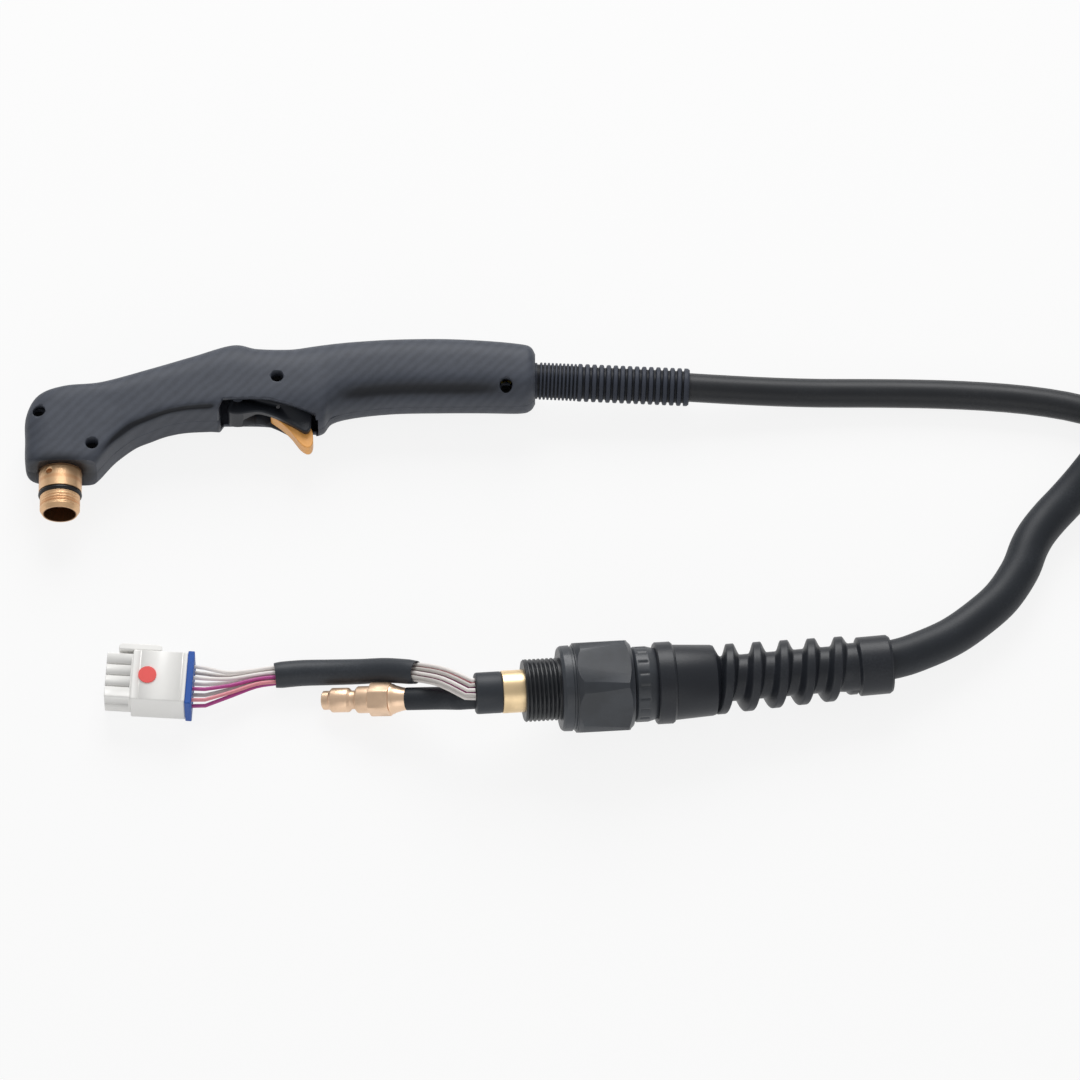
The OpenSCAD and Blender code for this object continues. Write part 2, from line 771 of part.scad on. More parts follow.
module at_gland() {
    translate(gland_c)
        rotate(gland_turn)
            children();
}

// The rubber behind the gland hangs at an angle of its own, from this point of the axis
tail_at = 50;
tail_c = gland_c + tail_at * gland_axis;
tail_turn = [0, 4.53, 7.96];
tail_axis = [0.9873, 0.138, -0.079];

module at_tail() {
    translate(tail_c)
        rotate(tail_turn)
            children();
}

machine_route = concat(free_route, [
    tail_c + 68 * tail_axis, tail_c + 36 * tail_axis, tail_c, gland_c, gland_c - 50 * gland_axis
]);

// Length of the lead from the front boot to the bundle sleeve
lead_len = path_len(torch_route) + norm(torch_route[len(torch_route) - 1] - coil_full[0])
    + path_len(coil_full) + norm(coil_full[len(coil_full) - 1] - machine_route[0])
    + path_len(machine_route);
echo(lead_len = lead_len);

// Helical rib that lets the rear boot bend: first crest, its angle, pitch and extent
rib_x = 13.3;
rib_angle = -63;
rib_pitch = 13.4;
rib_from = -0.72;
rib_to = 4.55;
rib_steps = 84;
boot_core = 11.2;

// Thin slice of the rib, some turns after the crest that stands at rib_x; its height
// fades in and out within a sixth of a turn, and its crest tapers towards the cuff
module rib_slice(t) {
    grow = max(0, min(1, 6 * (t - rib_from), 6 * (rib_to - t)));
    crest = boot_core - 0.6 + (16.9 - 0.33 * t - boot_core) * grow;
    translate([rib_x + rib_pitch * t, 0, 0])
        rotate([rib_angle - 360 * t, 0, 0])
            rotate([90, 0, 0])
                linear_extrude(0.02)
                    polygon([[-4.8, 9], [-2.2, crest], [2.2, crest], [4.8, 9]]);
}

// Rear boot: shank in the gland, ribbed core and cuff
module rear_boot() {
    rib_share = (rib_to - rib_from) / rib_steps;
    color([0.15, 0.15, 0.16])
        difference() {
            union() {
                at_gland()
                    rotate([0, 90, 0])
                        rotate_extrude($fn = 32)
                            polygon([
                                [0, 25.3], [20, 25.3], [20, 33.6], [18.4, 34.4], [17.2, 53.6],
                                [boot_core + 0.4, 57.4], [0, 57.4]
                            ]);
                at_tail() {
                    rotate([0, 90, 0])
                        rotate_extrude($fn = 32)
                            polygon([
                                [0, 0], [boot_core, 0], [boot_core, 74.4], [14.2, 76.4],
                                [14.4, 90], [13.6, 91.4], [0, 91.4]
                            ]);
                    for (i = [0 : rib_steps - 1])
                        hull() {
                            rib_slice(rib_from + i * rib_share);
                            rib_slice(rib_from + (i + 1) * rib_share);
                        }
                }
            }
            at_gland()
                rotate([0, 90, 0])
                    translate([0, 0, 24])
                        cylinder(r = lead_r, h = tail_at - 24);
            at_tail()
                rotate([0, 90, 0])
                    translate([0, 0, -0.3])
                        rotate_extrude($fn = 32)
                            polygon([[0, 0], [lead_r, 0], [lead_r, 62], [10.4, 66], [12.3, 94], [0, 94]]);
        }
}

// Clamp ring between the nut and the boot
module boot_ring() {
    color([0.17, 0.17, 0.18])
        at_gland()
            turned_x([[9.6, 14], [17.6, 14], [18.4, 15.2], [18.4, 21], [17.5, 24.6], [17.2, 25.3], [9.6, 25.3]]);
}

// Lock nut with a round skirt; nut_turn is the turn of its hexagon about the axis
nut_turn = 27;
collar_relief = 0.5;
nut_bore_r = collar_d / 2 - collar_relief + 0.05;
module lock_nut() {
    color([0.2, 0.21, 0.22])
        at_gland()
            difference() {
                intersection() {
                    union() {
                        rotate([0, 90, 0])
                            translate([0, 0, -14.4])
                                rotate([0, 0, nut_turn])
                                    cylinder(d = nut_af / cos(30), h = 29.2, $fn = 6);
                        turned_x([[0, -21.8], [20, -21.8], [20.8, -20.6], [20.8, -14], [0, -14]]);
                    }
                    turned_x([
                        [0, -21.8], [21, -21.8], [21.2, -14.4], [nut_af / 2 + 1.6, -12.2],
                        [nut_af / 2 + 2.7, 10], [nut_af / 2 - 0.6, 12.2], [nut_af / 2 - 1.6, 13.3],
                        [0, 13.3]
                    ]);
                }
                turned_x([
                    [0, -25], [nut_bore_r, -25], [nut_bore_r, 8], [12, 8],
                    [12, 16], [0, 16]
                ]);
            }
}

// Threaded collar: fine rings stand for its thread, which is relieved under the nut
collar_from = -39.4;
module gland_collar() {
    r = collar_d / 2;
    color([0.12, 0.12, 0.13])
        at_gland()
            turned_x(concat(
                [[tube_d / 2, collar_from], [r - 0.8, collar_from]],
                [for (i = [0 : 7]) for (p = [[-0.5, 0.4], [0, 0.9], [0, 1.5], [-0.5, 2]])
                    [r + p[0], collar_from + 2.1 * i + p[1]]],
                [[r - collar_relief, -22.6], [r - collar_relief, 5], [tube_d / 2, 5]]));
}

module gland_washer() {
    color([0.1, 0.1, 0.1])
        at_gland()
            turned_x([[9.6, 5], [14.4, 5], [14.4, 7.7], [11.65, 7.7], [11.65, 14], [9.6, 14]]);
}

module entry_tube() {
    color([0.83, 0.64, 0.38])
        at_gland()
            turned_x([
                [8.8, -50], [tube_d / 2 - 0.4, -50], [tube_d / 2, -49.4], [tube_d / 2, 5], [8.8, 5]
            ]);
}

module bundle_sleeve() {
    color([0.13, 0.13, 0.14])
        at_gland()
            turned_x([[0, -63], [9.7, -63], [10.15, -62.4], [10.15, -50], [0, -50]]);
}

// ---- gas plug --------------------------------------------------------------------------

plug_tip = [21.5, -143.1, 5.6];
bundle_face = gland_c - 63 * gland_axis;
hose_end = bundle_face + [0, -0.1, -4.2];
plug_run = hose_end - plug_tip;
plug_turn = [0, -atan2(plug_run[2], norm([plug_run[0], plug_run[1]])), atan2(plug_run[1], plug_run[0])];
barb_end = 43;
hose_r = 5.6;

module at_plug() {
    translate(plug_tip)
        rotate(plug_turn)
            children();
}

// Male quick plug: nose, barrel, latch neck, collar and hexagon, bored through
module gas_plug() {
    r = plug_d / 2;
    color([0.85, 0.68, 0.42])
        at_plug()
            difference() {
                union() {
                    turned_x([
                        [0, 0], [4.1, 0], [4.65, 0.6], [4.65, 3.6], [r - 0.2, 4.8], [r, 5.4],
                        [r, 13.2], [4.7, 14.6], [4.7, 17.4], [6, 17.6], [6.6, 18.4], [6.6, 24.6],
                        [0, 24.6]
                    ]);
                    rotate([0, 90, 0])
                        translate([0, 0, 24.6])
                            intersection() {
                                cylinder(d = 17, h = 10.4, $fn = 6);
                                cylinder(d = 16.4, h = 10.4);
                            }
                }
                rotate([0, 90, 0])
                    translate([0, 0, -1])
                        cylinder(r = 2.6, h = 40);
            }
}

module hose_barb() {
    color([0.82, 0.62, 0.38])
        at_plug()
            turned_x([[2.6, 35], [7.6, 35], [7.2, 36.6], [5.6, 41.4], [5.4, barb_end], [2.6, barb_end]]);
}

module gas_hose() {
    start = plug_tip + unit(plug_run) * barb_end;
    bend = [start + 5 * unit(plug_run), (start + hose_end) / 2, hose_end - 8 * gland_axis];
    color([0.13, 0.13, 0.15])
        hose_along(concat([start], smooth(bend, 2), [hose_end]), hose_r, 3, 12);
}

// ---- control plug and wires ------------------------------------------------------------

housing_c = [-64.6, -136.2, housing_t / 2];
housing_turn = [0, 0, -3.5];
dot_d = 8.8;
seal_t = 3.2;
pole_pitch = 6;
pole_rows = [-3.4, 3.4];
pole_columns = [-9, -3, 3, 9];

module at_housing() {
    translate(housing_c)
        rotate(housing_turn)
            children();
}

module plug_housing() {
    color([0.93, 0.92, 0.90])
        at_housing()
            difference() {
                union() {
                    translate([-housing_l / 2, 0, 0])
                        cube_bar(13, housing_w - 3, housing_t - 3.4);
                    translate([12.8 - housing_l / 2, 0, 0])
                        cube_bar(housing_l - 12.8, housing_w, housing_t);
                }
                for (y = pole_columns)
                    for (z = pole_rows)
                        translate([-housing_l / 2 - 1, y, z])
                            rotate([0, 90, 0])
                                cylinder(r = 2.2, h = 16);
                for (y = [-6, 0, 6])
                    translate([-housing_l / 2 - 1, y - 0.5, -housing_t / 2 - 1])
                        cube([13, 1, housing_t + 2]);
            }
}

module cube_bar(l, w, t) {
    translate([0, -w / 2, -t / 2])
        cube([l, w, t]);
}

// Keying rib on the side of the housing
module plug_key() {
    color([0.92, 0.91, 0.89])
        at_housing()
            translate([-14.2, housing_w / 2, -5])
                cube([21, 3.4, 10]);
}

module plug_seal() {
    color([0.13, 0.32, 0.68])
        at_housing()
            translate([housing_l / 2, 0, 0])
                difference() {
                    cube_bar(seal_t, housing_w + 1.6, housing_t);
                    for (y = pole_columns)
                        for (z = pole_rows)
                            translate([-1, y, z])
                                rotate([0, 90, 0])
                                    cylinder(d = wire_d + 0.1, h = seal_t + 2);
                }
}

module plug_contacts() {
    color([0.85, 0.72, 0.4])
        at_housing()
            for (y = pole_columns)
                for (z = pole_rows)
                    translate([-housing_l / 2 + 3, y, z])
                        rotate([0, 90, 0])
                            cylinder(r = 1.1, h = 12);
}

module plug_dot() {
    color([1, 0.42, 0.4])
        at_housing()
            translate([0.7, 0, housing_t / 2])
                cylinder(d = dot_d, h = 0.5);
}

// Middle of the wire bundle from the control plug to the bundle sleeve
wire_route = [
    [-36, -137.9, 10], [-24, -136, 9.2], [-12, -132.4, 8], [-2, -130.5, 7.6],
    [11, -129.2, 7.6], [25, -129.3, 8.6], [39, -130.5, 11.8], [53, -132.6, 17.4],
    [69.5, -137.6, 25], [81, -144.8, 34]
];
// Share of the plug's pole spacing that the bundle keeps at each point, and its twist there
bundle_spread = [0.96, 0.6, 0.42, 0.41, 0.41, 0.42, 0.42, 0.42, 0.42, 0.44, 0.47, 0.47];
bundle_twist = [0, 0, 0, 10, 45, 80, 115, 150, 180, 180, 180, 180];
bundle_end = bundle_face + [0, 0, 5];
bundle_line = concat([housing_c + [housing_l / 2 + seal_t + 0.6, 0, 0]], wire_route,
                     [bundle_end - 3 * gland_axis, bundle_end]);

function at_pole(x, y, z) =
    housing_c + [x * cos(housing_turn[2]) - y * sin(housing_turn[2]),
                 x * sin(housing_turn[2]) + y * cos(housing_turn[2]), z];
function wire_path(column, row) =
    let (y = pole_columns[column], z = pole_rows[row])
    concat(
        [at_pole(housing_l / 2, y, z), at_pole(housing_l / 2 + seal_t + 0.6, y, z)],
        [for (i = [1 : len(bundle_line) - 1])
            let (t = bundle_line[min(i + 1, len(bundle_line) - 1)] - bundle_line[i - 1],
                 f = bundle_twist[i - 1], aside = unit([-t[1], t[0], 0]),
                 lane = (y * cos(f) - z * sin(f)) * aside + [0, 0, y * sin(f) + z * cos(f)])
            bundle_line[i] + bundle_spread[i - 1] * lane]);

module wires(list) {
    for (w = list)
        tube_along(wire_path(w[0], w[1]), wire_d / 2, 8);
}

module wires_white() {
    color([0.93, 0.90, 0.88])
        wires([[3, 1], [2, 1], [2, 0]]);
}

module wires_grey() {
    color([0.70, 0.69, 0.66])
        wires([[3, 0], [1, 0]]);
}

module wires_violet() {
    color([0.76, 0.32, 0.66])
        wires([[1, 1], [0, 0]]);
}

module wire_pink() {
    color([0.95, 0.60, 0.62])
        wires([[0, 1]]);
}

// Black sleeve round the middle of the wires
module wire_sleeve() {
    color([0.17, 0.17, 0.18])
        hose_along(concat([for (i = [3 : 7]) wire_route[i]],
                          [0.14 * wire_route[7] + 0.86 * wire_route[8]]), 6.4, 5.3, 12);
}

handle_shell_upper();
handle_shell_lower();
handle_screws();
head_insulator();
head_seat();
head_o_ring();
cathode();
contact_plunger();
plunger_spring();
cap_switch();
cap_plunger();
gas_tube();
pilot_wire();
trigger();
trigger_pin();
trigger_spring();
safety_lever();
lever_pin();
lever_spring();
start_switch();
switch_plunger();
switch_wires();
wire_crimps();
front_boot();
lead_torch_run();
lead_coil();
lead_machine_run();
lead_ties();
lead_sleeve();
rear_boot();
boot_ring();
lock_nut();
gland_collar();
gland_washer();
entry_tube();
bundle_sleeve();
gas_hose();
hose_barb();
gas_plug();
wires_white();
wires_grey();
wires_violet();
wire_pink();
wire_sleeve();
plug_housing();
plug_key();
plug_seal();
plug_contacts();
plug_dot();
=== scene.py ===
"""Dresses a hand torch with its lead, gland and plugs: shapes, finishes, stage and camera."""

import math

import bmesh
import bpy
from bpy.props import FloatProperty, FloatVectorProperty, IntProperty, PointerProperty
from mathutils import Matrix, Vector


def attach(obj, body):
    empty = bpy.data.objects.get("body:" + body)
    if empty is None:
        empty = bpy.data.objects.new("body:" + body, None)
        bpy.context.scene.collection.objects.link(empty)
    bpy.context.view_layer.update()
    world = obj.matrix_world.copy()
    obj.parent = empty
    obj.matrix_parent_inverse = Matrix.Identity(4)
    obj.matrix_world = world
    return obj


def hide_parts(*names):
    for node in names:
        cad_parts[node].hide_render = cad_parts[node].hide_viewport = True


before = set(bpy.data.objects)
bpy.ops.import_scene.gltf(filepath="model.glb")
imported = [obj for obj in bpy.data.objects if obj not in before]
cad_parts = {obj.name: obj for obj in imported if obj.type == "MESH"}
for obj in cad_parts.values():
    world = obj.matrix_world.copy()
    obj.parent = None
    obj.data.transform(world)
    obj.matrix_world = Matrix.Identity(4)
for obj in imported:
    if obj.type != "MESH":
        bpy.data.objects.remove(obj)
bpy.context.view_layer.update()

bl_info = {
    "name": "Hand torch dressing",
    "version": (1, 0, 0),
    "blender": (4, 5, 0),
    "location": "View3D > Sidebar > Torch",
    "description": "Builds the torch's outer pieces and finishes round its fixed frame",
    "category": "Object",
}

MM = 0.001


# ---- shader maths -----------------------------------------------------------------------


class Sock:
    """A node's output that can be used in sums like a number."""

    def __init__(self, paint, value):
        self.paint = paint
        self.value = value

    def _do(self, operation, *others):
        values = [o.value if isinstance(o, Sock) else o for o in others]
        return self.paint.node(
            "ShaderNodeMath", {"operation": operation}, [self.value, *values]
        )

    def __add__(self, other):
        return self._do("ADD", other)

    __radd__ = __add__

    def __mul__(self, other):
        return self._do("MULTIPLY", other)

    __rmul__ = __mul__

    def __sub__(self, other):
        return self._do("SUBTRACT", other)

    def __rsub__(self, other):
        return self * -1.0 + other

    def __pow__(self, other):
        return self._do("POWER", other)

    def sine(self):
        return self._do("SINE")

    def at_most(self, other):
        return self._do("MINIMUM", other)

    def between(self, low, high):
        """Smooth step from 0 at low to 1 at high."""
        return self.paint.node(
            "ShaderNodeMapRange",
            {"interpolation_type": "SMOOTHSTEP", "clamp": True},
            {"Value": self.value, "From Min": low, "From Max": high},
            "Result",
        )


class Paint:
    """One material, built node by node."""

    def __init__(self, name, color, roughness=0.5, metallic=0.0, specular=0.5):
        self.mat = bpy.data.materials.new(name)
        self.mat.use_nodes = True
        self.mat.diffuse_color = (*color, 1.0)
        self.tree = self.mat.node_tree
        self.shader = self.tree.nodes["Principled BSDF"]
        self.set("Base Color", (*color, 1.0))
        self.set("Roughness", roughness)
        self.set("Metallic", metallic)
        self.set("Specular IOR Level", specular)

    def node(self, kind, settings=None, values=None, out=0):
        """Adds a node: its settings first, then the values or links of its sockets."""
        n = self.tree.nodes.new(kind)
        for k, v in (settings or {}).items():
            setattr(n, k, v)
        pairs = values.items() if isinstance(values, dict) else enumerate(values or [])
        for k, v in pairs:
            self.feed(n.inputs[k], v)
        return Sock(self, n.outputs[out])

    def feed(self, socket, value):
        """Links a node's output to a socket, or gives the socket a value."""
        if isinstance(value, Sock):
            value = value.value
        if isinstance(value, bpy.types.NodeSocket):
            self.tree.links.new(value, socket)
        else:
            socket.default_value = value

    def set(self, name, value):
        """Feeds a socket of the material's own shader."""
        self.feed(self.shader.inputs[name], value)

    def where(self):
        """Place in the object, in metres."""
        return self.node("ShaderNodeTexCoord", out="Object")

    def axes(self):
        """X, Y and Z of the place in the object."""
        split = self.node("ShaderNodeSeparateXYZ", None, [self.where()])
        return [Sock(self, out) for out in split.value.node.outputs]

    def along(self, direction, origin=(0, 0, 0)):
        """Distance along a direction from an origin."""
        moved = self.node(
            "ShaderNodeVectorMath", {"operation": "SUBTRACT"}, [self.where(), origin]
        )
        return self.node(
            "ShaderNodeVectorMath", {"operation": "DOT_PRODUCT"}, [moved, direction], "Value"
        )

    def noise(self, scale, detail, roughness=0.55):
        """Cloudy values round 0.5, so many to the metre."""
        return self.node(
            "ShaderNodeTexNoise",
            {"noise_dimensions": "3D"},
            {"Vector": self.where(), "Scale": scale, "Detail": detail, "Roughness": roughness},
        )

    def mix(self, share, first, second):
        """Blend of two colours, all first at 0 and all second at 1."""
        n = self.tree.nodes.new("ShaderNodeMix")
        n.data_type = "RGBA"
        self.feed(n.inputs["Factor"], share)
        for side, color in (("A", first), ("B", second)):
            self.feed(n.inputs[side], (*color, 1.0) if isinstance(color, tuple) else color)
        return Sock(self, n.outputs["Result"])

    def bump(self, height, depth):
        """Adds relief: height is 0 to 1, depth its real size in metres."""
        relief_node = self.node(
            "ShaderNodeBump", None, {"Strength": 1.0, "Distance": depth, "Height": height}
        )
        self.set("Normal", relief_node)


def srgb(r, g, b):
    """Linear colour from the usual 0 to 255 values."""
    def one(v):
        v /= 255
        return v / 12.92 if v <= 0.04045 else ((v + 0.055) / 1.055) ** 2.4
    return (one(r), one(g), one(b))


def scaled(color, k):
    """Colour made darker or lighter, never past full."""
    return tuple(min(1, c * k) for c in color)


# ---- sizes and routes, as in the frame's source ---------------------------------------------

# The gland's middle and the lines of the gland and of its boot, from the plugs to the lead
GLAND_C = Vector((158.3, -145.2, 25.4))
GLAND_LINE = Vector((0.9916, 0.1016, -0.0795))
GLAND_AXIS = GLAND_LINE.normalized()
TAIL_C = GLAND_C + 50 * GLAND_LINE
TAIL_AXIS = Vector((0.9873, 0.138, -0.079)).normalized()
# Where the lead leaves its socket in the handle, and the line of the front boot
BOOT_IN = Vector((118, 27.3, 16.5))
BOOT_BEND = Vector((126, 27.3, 16.5))
BOOT_AXIS = Vector((0.999, -0.0314, -0.0332)).normalized()
LEAD_R = 7.1
LEAD_HOLE = LEAD_R + 0.02
TORCH_ROUTE = [
    BOOT_IN, BOOT_BEND, BOOT_BEND + 37.5 * BOOT_AXIS, BOOT_BEND + 75 * BOOT_AXIS,
    (222, 24.4, 12.4), (244, 24.4, 10.2), (266, 24.8, 8.2), (290, 25.2, 7.3),
    (314, 25, 7.1), (336, 24.2, 7.1), (358, 22.6, 7.1), (378, 20, 7.1), (396, 16, 7.1),
    (412, 9.8, 7.1), (426, 1.2, 7.1), (438, -9.8, 7.2), (448.4, -22, 7.6), (457.4, -34.4, 8.1),
]
FREE_ROUTE = [
    (462.9, 55.1, 23.1), (450, 39.7, 23.1), (437.2, 24.4, 23.1), (424.3, 9.1, 22.6),
    (412, -5.5, 20.6), (403, -16.4, 17), (394, -27, 13.2), (386, -36, 11), (378, -44.8, 9.9),
    (371.6, -53.4, 9.7), (367.3, -61.7, 9.7), (362.6, -74.2, 9.7), (353.6, -88.8, 9.7),
    (341.8, -100.4, 9.7), (328.8, -110.6, 10.3), (314.4, -118.9, 12.4), (300.5, -124.9, 14.4),
]
MACHINE_ROUTE = [Vector(p) for p in FREE_ROUTE] + [
    TAIL_C + 68 * TAIL_AXIS, TAIL_C + 36 * TAIL_AXIS, TAIL_C, GLAND_C, GLAND_C - 50 * GLAND_AXIS,
]
# The coil lies in two layers on its straps; its ends are at two angles, some turns apart
COIL_C = Vector((586, 4, 0))
COIL_IN, COIL_PITCH, LAYER_H = 62.5, 14.7, 14.7
COIL_FROM, COIL_TO = 215, 140
COIL_TOTAL = 8 + (COIL_TO + 360 - COIL_FROM) / 360
STRAP_THICK = 1.2
COIL_Z = LEAD_R + STRAP_THICK + 0.1
# Face that the wires and the hose come out of, behind the gland
BUNDLE_FACE = GLAND_C - 63 * GLAND_LINE
PLUG_TIP = Vector((21.5, -143.1, 5.6))
HOSE_END = BUNDLE_FACE + Vector((0, -0.1, -4.2))
PLUG_AXIS = (HOSE_END - PLUG_TIP).normalized()
HOUSING_C = Vector((-64.6, -136.2, 10))
HOUSING_TURN = math.radians(-3.5)
WIRE_ROUTE = [Vector(p) for p in (
    (-36, -137.9, 10), (-24, -136, 9.2), (-12, -132.4, 8), (-2, -130.5, 7.6),
    (11, -129.2, 7.6), (25, -129.3, 8.6), (39, -130.5, 11.8), (53, -132.6, 17.4),
    (69.5, -137.6, 25), (81, -144.8, 34))]
SLEEVE_ROUTE = [*WIRE_ROUTE[3:8], WIRE_ROUTE[7].lerp(WIRE_ROUTE[8], 0.86)]
# How far the wires stand apart and how far they have turned, at each point of their line
BUNDLE_SPREAD = [0.96, 0.6, 0.42, 0.41, 0.41, 0.42, 0.42, 0.42, 0.42, 0.44, 0.47, 0.47]
BUNDLE_TWIST = [0, 0, 0, 10, 45, 80, 115, 150, 180, 180, 180, 180]
BUNDLE_END = BUNDLE_FACE + Vector((0, 0, 5))
BUNDLE_LINE = [
    HOUSING_C + Vector((23.55, 0, 0)), *WIRE_ROUTE,
    BUNDLE_END - 3 * GLAND_LINE, BUNDLE_END,
]
# Places of the plug's poles, and the wires that swap lanes before the gland
POLE_ROWS = (-3.4, 3.4)
POLE_COLUMNS = (-9, -3, 3, 9)
SWAPPED_LANES = {(0, 0): (3, 3.4), (2, 1): (-9, -3.4)}
SWAP_AT = 6
WIRE_R, WIRE_HOLE = 1.0, 1.05


def coil_point(t):
    """Centreline of the coil at a number of turns: in on the lower layer, out on the upper."""
    half = COIL_TOTAL / 2
    r = COIL_IN + COIL_PITCH * abs(t - half)
    a = math.radians(COIL_FROM + 360 * t)
    climb = max(0, min(1, 2 * (t - half) + 0.5))
    z = COIL_Z + LAYER_H * climb * climb * (3 - 2 * climb)
    return COIL_C + Vector((r * math.cos(a), r * math.sin(a), z))


def coil_route(steps_a_turn):
    """The coil's points, with a short straight run into it and out of it."""
    count = math.ceil(COIL_TOTAL * steps_a_turn)
    mid = [coil_point(COIL_TOTAL * i / count) for i in range(count + 1)]
    ends = []
    for a, sign, point in ((COIL_FROM, -1, mid[0]), (COIL_FROM + 360 * COIL_TOTAL, 1, mid[-1])):
        turn = math.radians(a + 90)
        ends.append(point + sign * 2 * LEAD_R * Vector((math.cos(turn), math.sin(turn), 0)))
    return [ends[0], *mid, ends[1]]


def at_pole(x, y, z):
    """Point given in the control plug's own frame."""
    c, s = math.cos(HOUSING_TURN), math.sin(HOUSING_TURN)
    return HOUSING_C + Vector((x * c - y * s, x * s + y * c, z))


def wire_points(column, row):
    """Route of one control wire, in millimetres."""
    y, z = POLE_COLUMNS[column], POLE_ROWS[row]
    fan_y, fan_z = SWAPPED_LANES.get((column, row), (y, z))
    points = [at_pole(19.75, y, z), at_pole(23.55, y, z)]
    last = len(BUNDLE_LINE) - 1
    for i in range(1, last + 1):
        t = BUNDLE_LINE[min(i + 1, last)] - BUNDLE_LINE[i - 1]
        aside = Vector((-t.y, t.x, 0)).normalized()
        f = math.radians(BUNDLE_TWIST[i - 1])
        if i > SWAP_AT:
            y, z = fan_y, fan_z
        lane = (y * math.cos(f) - z * math.sin(f)) * aside
        lane += Vector((0, 0, y * math.sin(f) + z * math.cos(f)))
        points.append(BUNDLE_LINE[i] + BUNDLE_SPREAD[i - 1] * lane)
    return points


def spline_point(a, b, c, d, t):
    """Catmull-Rom curve from b at 0 to c at 1, with a before and d after them."""
    return 0.5 * (2 * b + (c - a) * t + (2 * a - 5 * b + 4 * c - d) * t * t
                  + (3 * b - a - 3 * c + d) * t * t * t)


def smooth(points, count):
    """Open smooth curve through the points, with so many steps between two."""
    p = [Vector(v) for v in points]
    out = []
    for i in range(len(p) - 1):
        near = p[max(i - 1, 0)], p[i], p[i + 1], p[min(i + 2, len(p) - 1)]
        out += [spline_point(*near, k / count) for k in range(count)]
    return [*out, p[-1]]


def curved(points, count):
    """Open smooth run of an outline through points."""
    return [(p.x, p.y) for p in smooth(points, count)]


def smooth_outline(points, count):
    """Closed smooth outline through points."""
    n = len(points)
    out = []
    for i in range(n):
        near = [Vector(points[(i + j) % n]) for j in (-1, 0, 1, 2)]
        out += [spline_point(*near, k / count) for k in range(count)]
    return [(p.x, p.y) for p in out]


def length_of(points):
    """Length of a broken line."""
    return sum((b - a).length for a, b in zip(points, points[1:]))


# ---- making pieces -----------------------------------------------------------------------


def deselect():
    for o in bpy.context.selected_objects:
        o.select_set(False)


def rename(o, name):
    """Gives a piece and its mesh one name."""
    o.name = o.data.name = name


def coat(o, material):
    """Gives a piece its one finish."""
    o.data.materials.clear()
    o.data.materials.append(material.mat)


def take(name, material):
    """Names the active object and gives it its finish."""
    o = bpy.context.object
    rename(o, name)
    coat(o, material)
    return o


def line_piece(name, points, radius, material, sides):
    """Curve of one open spline through points in millimetres, as thick as a cord."""
    curve = bpy.data.curves.new(name, "CURVE")
    curve.dimensions = "3D"
    spline = curve.splines.new("POLY")
    spline.points.add(len(points) - 1)
    for q, p in zip(spline.points, points):
        q.co = (*(Vector(p) * MM), 1.0)
    spline.use_smooth = True
    curve.bevel_depth = radius * MM
    curve.bevel_resolution = sides // 4 - 1
    curve.use_fill_caps = True
    curve.materials.append(material.mat)
    o = bpy.data.objects.new(name, curve)
    bpy.context.collection.objects.link(o)
    return o


def finish_mesh(angle=35):
    """Smooth shading across edges under an angle, on the active object."""
    bpy.ops.object.shade_smooth_by_angle(angle=math.radians(angle))


def matrix_on(origin, axis, up=(0, 0, 1)):
    """Frame with its X along an axis and its Z as near up as it can be, origin in millimetres."""
    x = Vector(axis).normalized()
    y = Vector(up).cross(x).normalized()
    z = x.cross(y)
    m = Matrix((x, y, z)).transposed().to_4x4()
    m.translation = Vector(origin) * MM
    return m


def mesh_piece(name, verts, faces, material, place=None, angle=35, edges=()):
    """Mesh from points in millimetres, put at a place."""
    deselect()
    mesh = bpy.data.meshes.new(name)
    mesh.from_pydata([tuple(Vector(v) * MM) for v in verts], edges, faces)
    if place is not None:
        mesh.transform(place)
    o = bpy.data.objects.new(name, mesh)
    bpy.context.collection.objects.link(o)
    bpy.context.view_layer.objects.active = o
    o.select_set(True)
    take(name, material)
    finish_mesh(angle)
    return o


def shape(o, action, place=None, angle=35):
    """Works on all of a piece in edit mode, then merges its points and puts it at a place."""
    bpy.ops.object.mode_set(mode="EDIT")
    bpy.ops.mesh.select_all(action="SELECT")
    operator, settings = action
    operator(**settings)
    bpy.ops.mesh.select_all(action="SELECT")
    bpy.ops.mesh.remove_doubles(threshold=1e-6)
    bpy.ops.mesh.normals_make_consistent(inside=False)
    bpy.ops.object.mode_set(mode="OBJECT")
    if place is not None:
        o.data.transform(place)
    finish_mesh(angle)
    return o


def turned(name, profile, material, place, sides):
    """Ring spun about X from a closed outline of [x, radius] in millimetres."""
    count = len(profile)
    pairs = [(i, (i + 1) % count) for i in range(count)]
    edges = [(i, j) for i, j in pairs if profile[i][1] > 0 or profile[j][1] > 0]
    o = mesh_piece(name, [(x, r, 0) for x, r in profile], [], material, edges=edges)
    spin = {"steps": sides, "angle": 2 * math.pi, "center": (0, 0, 0), "axis": (1, 0, 0)}
    return shape(o, (bpy.ops.mesh.spin, spin), place=place)


def sleeve_piece(name, verts, sides, material, place, angle):
    """Closed piece with a hole through it: its outer wall's rings of points, then the hole's."""
    m = len(verts) // 2
    e = m - sides
    faces = []
    for k in range(sides):
        q = (k + 1) % sides
        for a in range(0, e, sides):
            b = a + sides
            faces.append((a + k, b + k, b + q, a + q))
            faces.append((m + a + q, m + b + q, m + b + k, m + a + k))
        faces.append((k, q, m + q, m + k))
        faces.append((m + e + k, m + e + q, e + q, e + k))
    o = mesh_piece(name, verts, faces, material, place, angle)
    recalc(o)
    finish_mesh(angle)
    return o


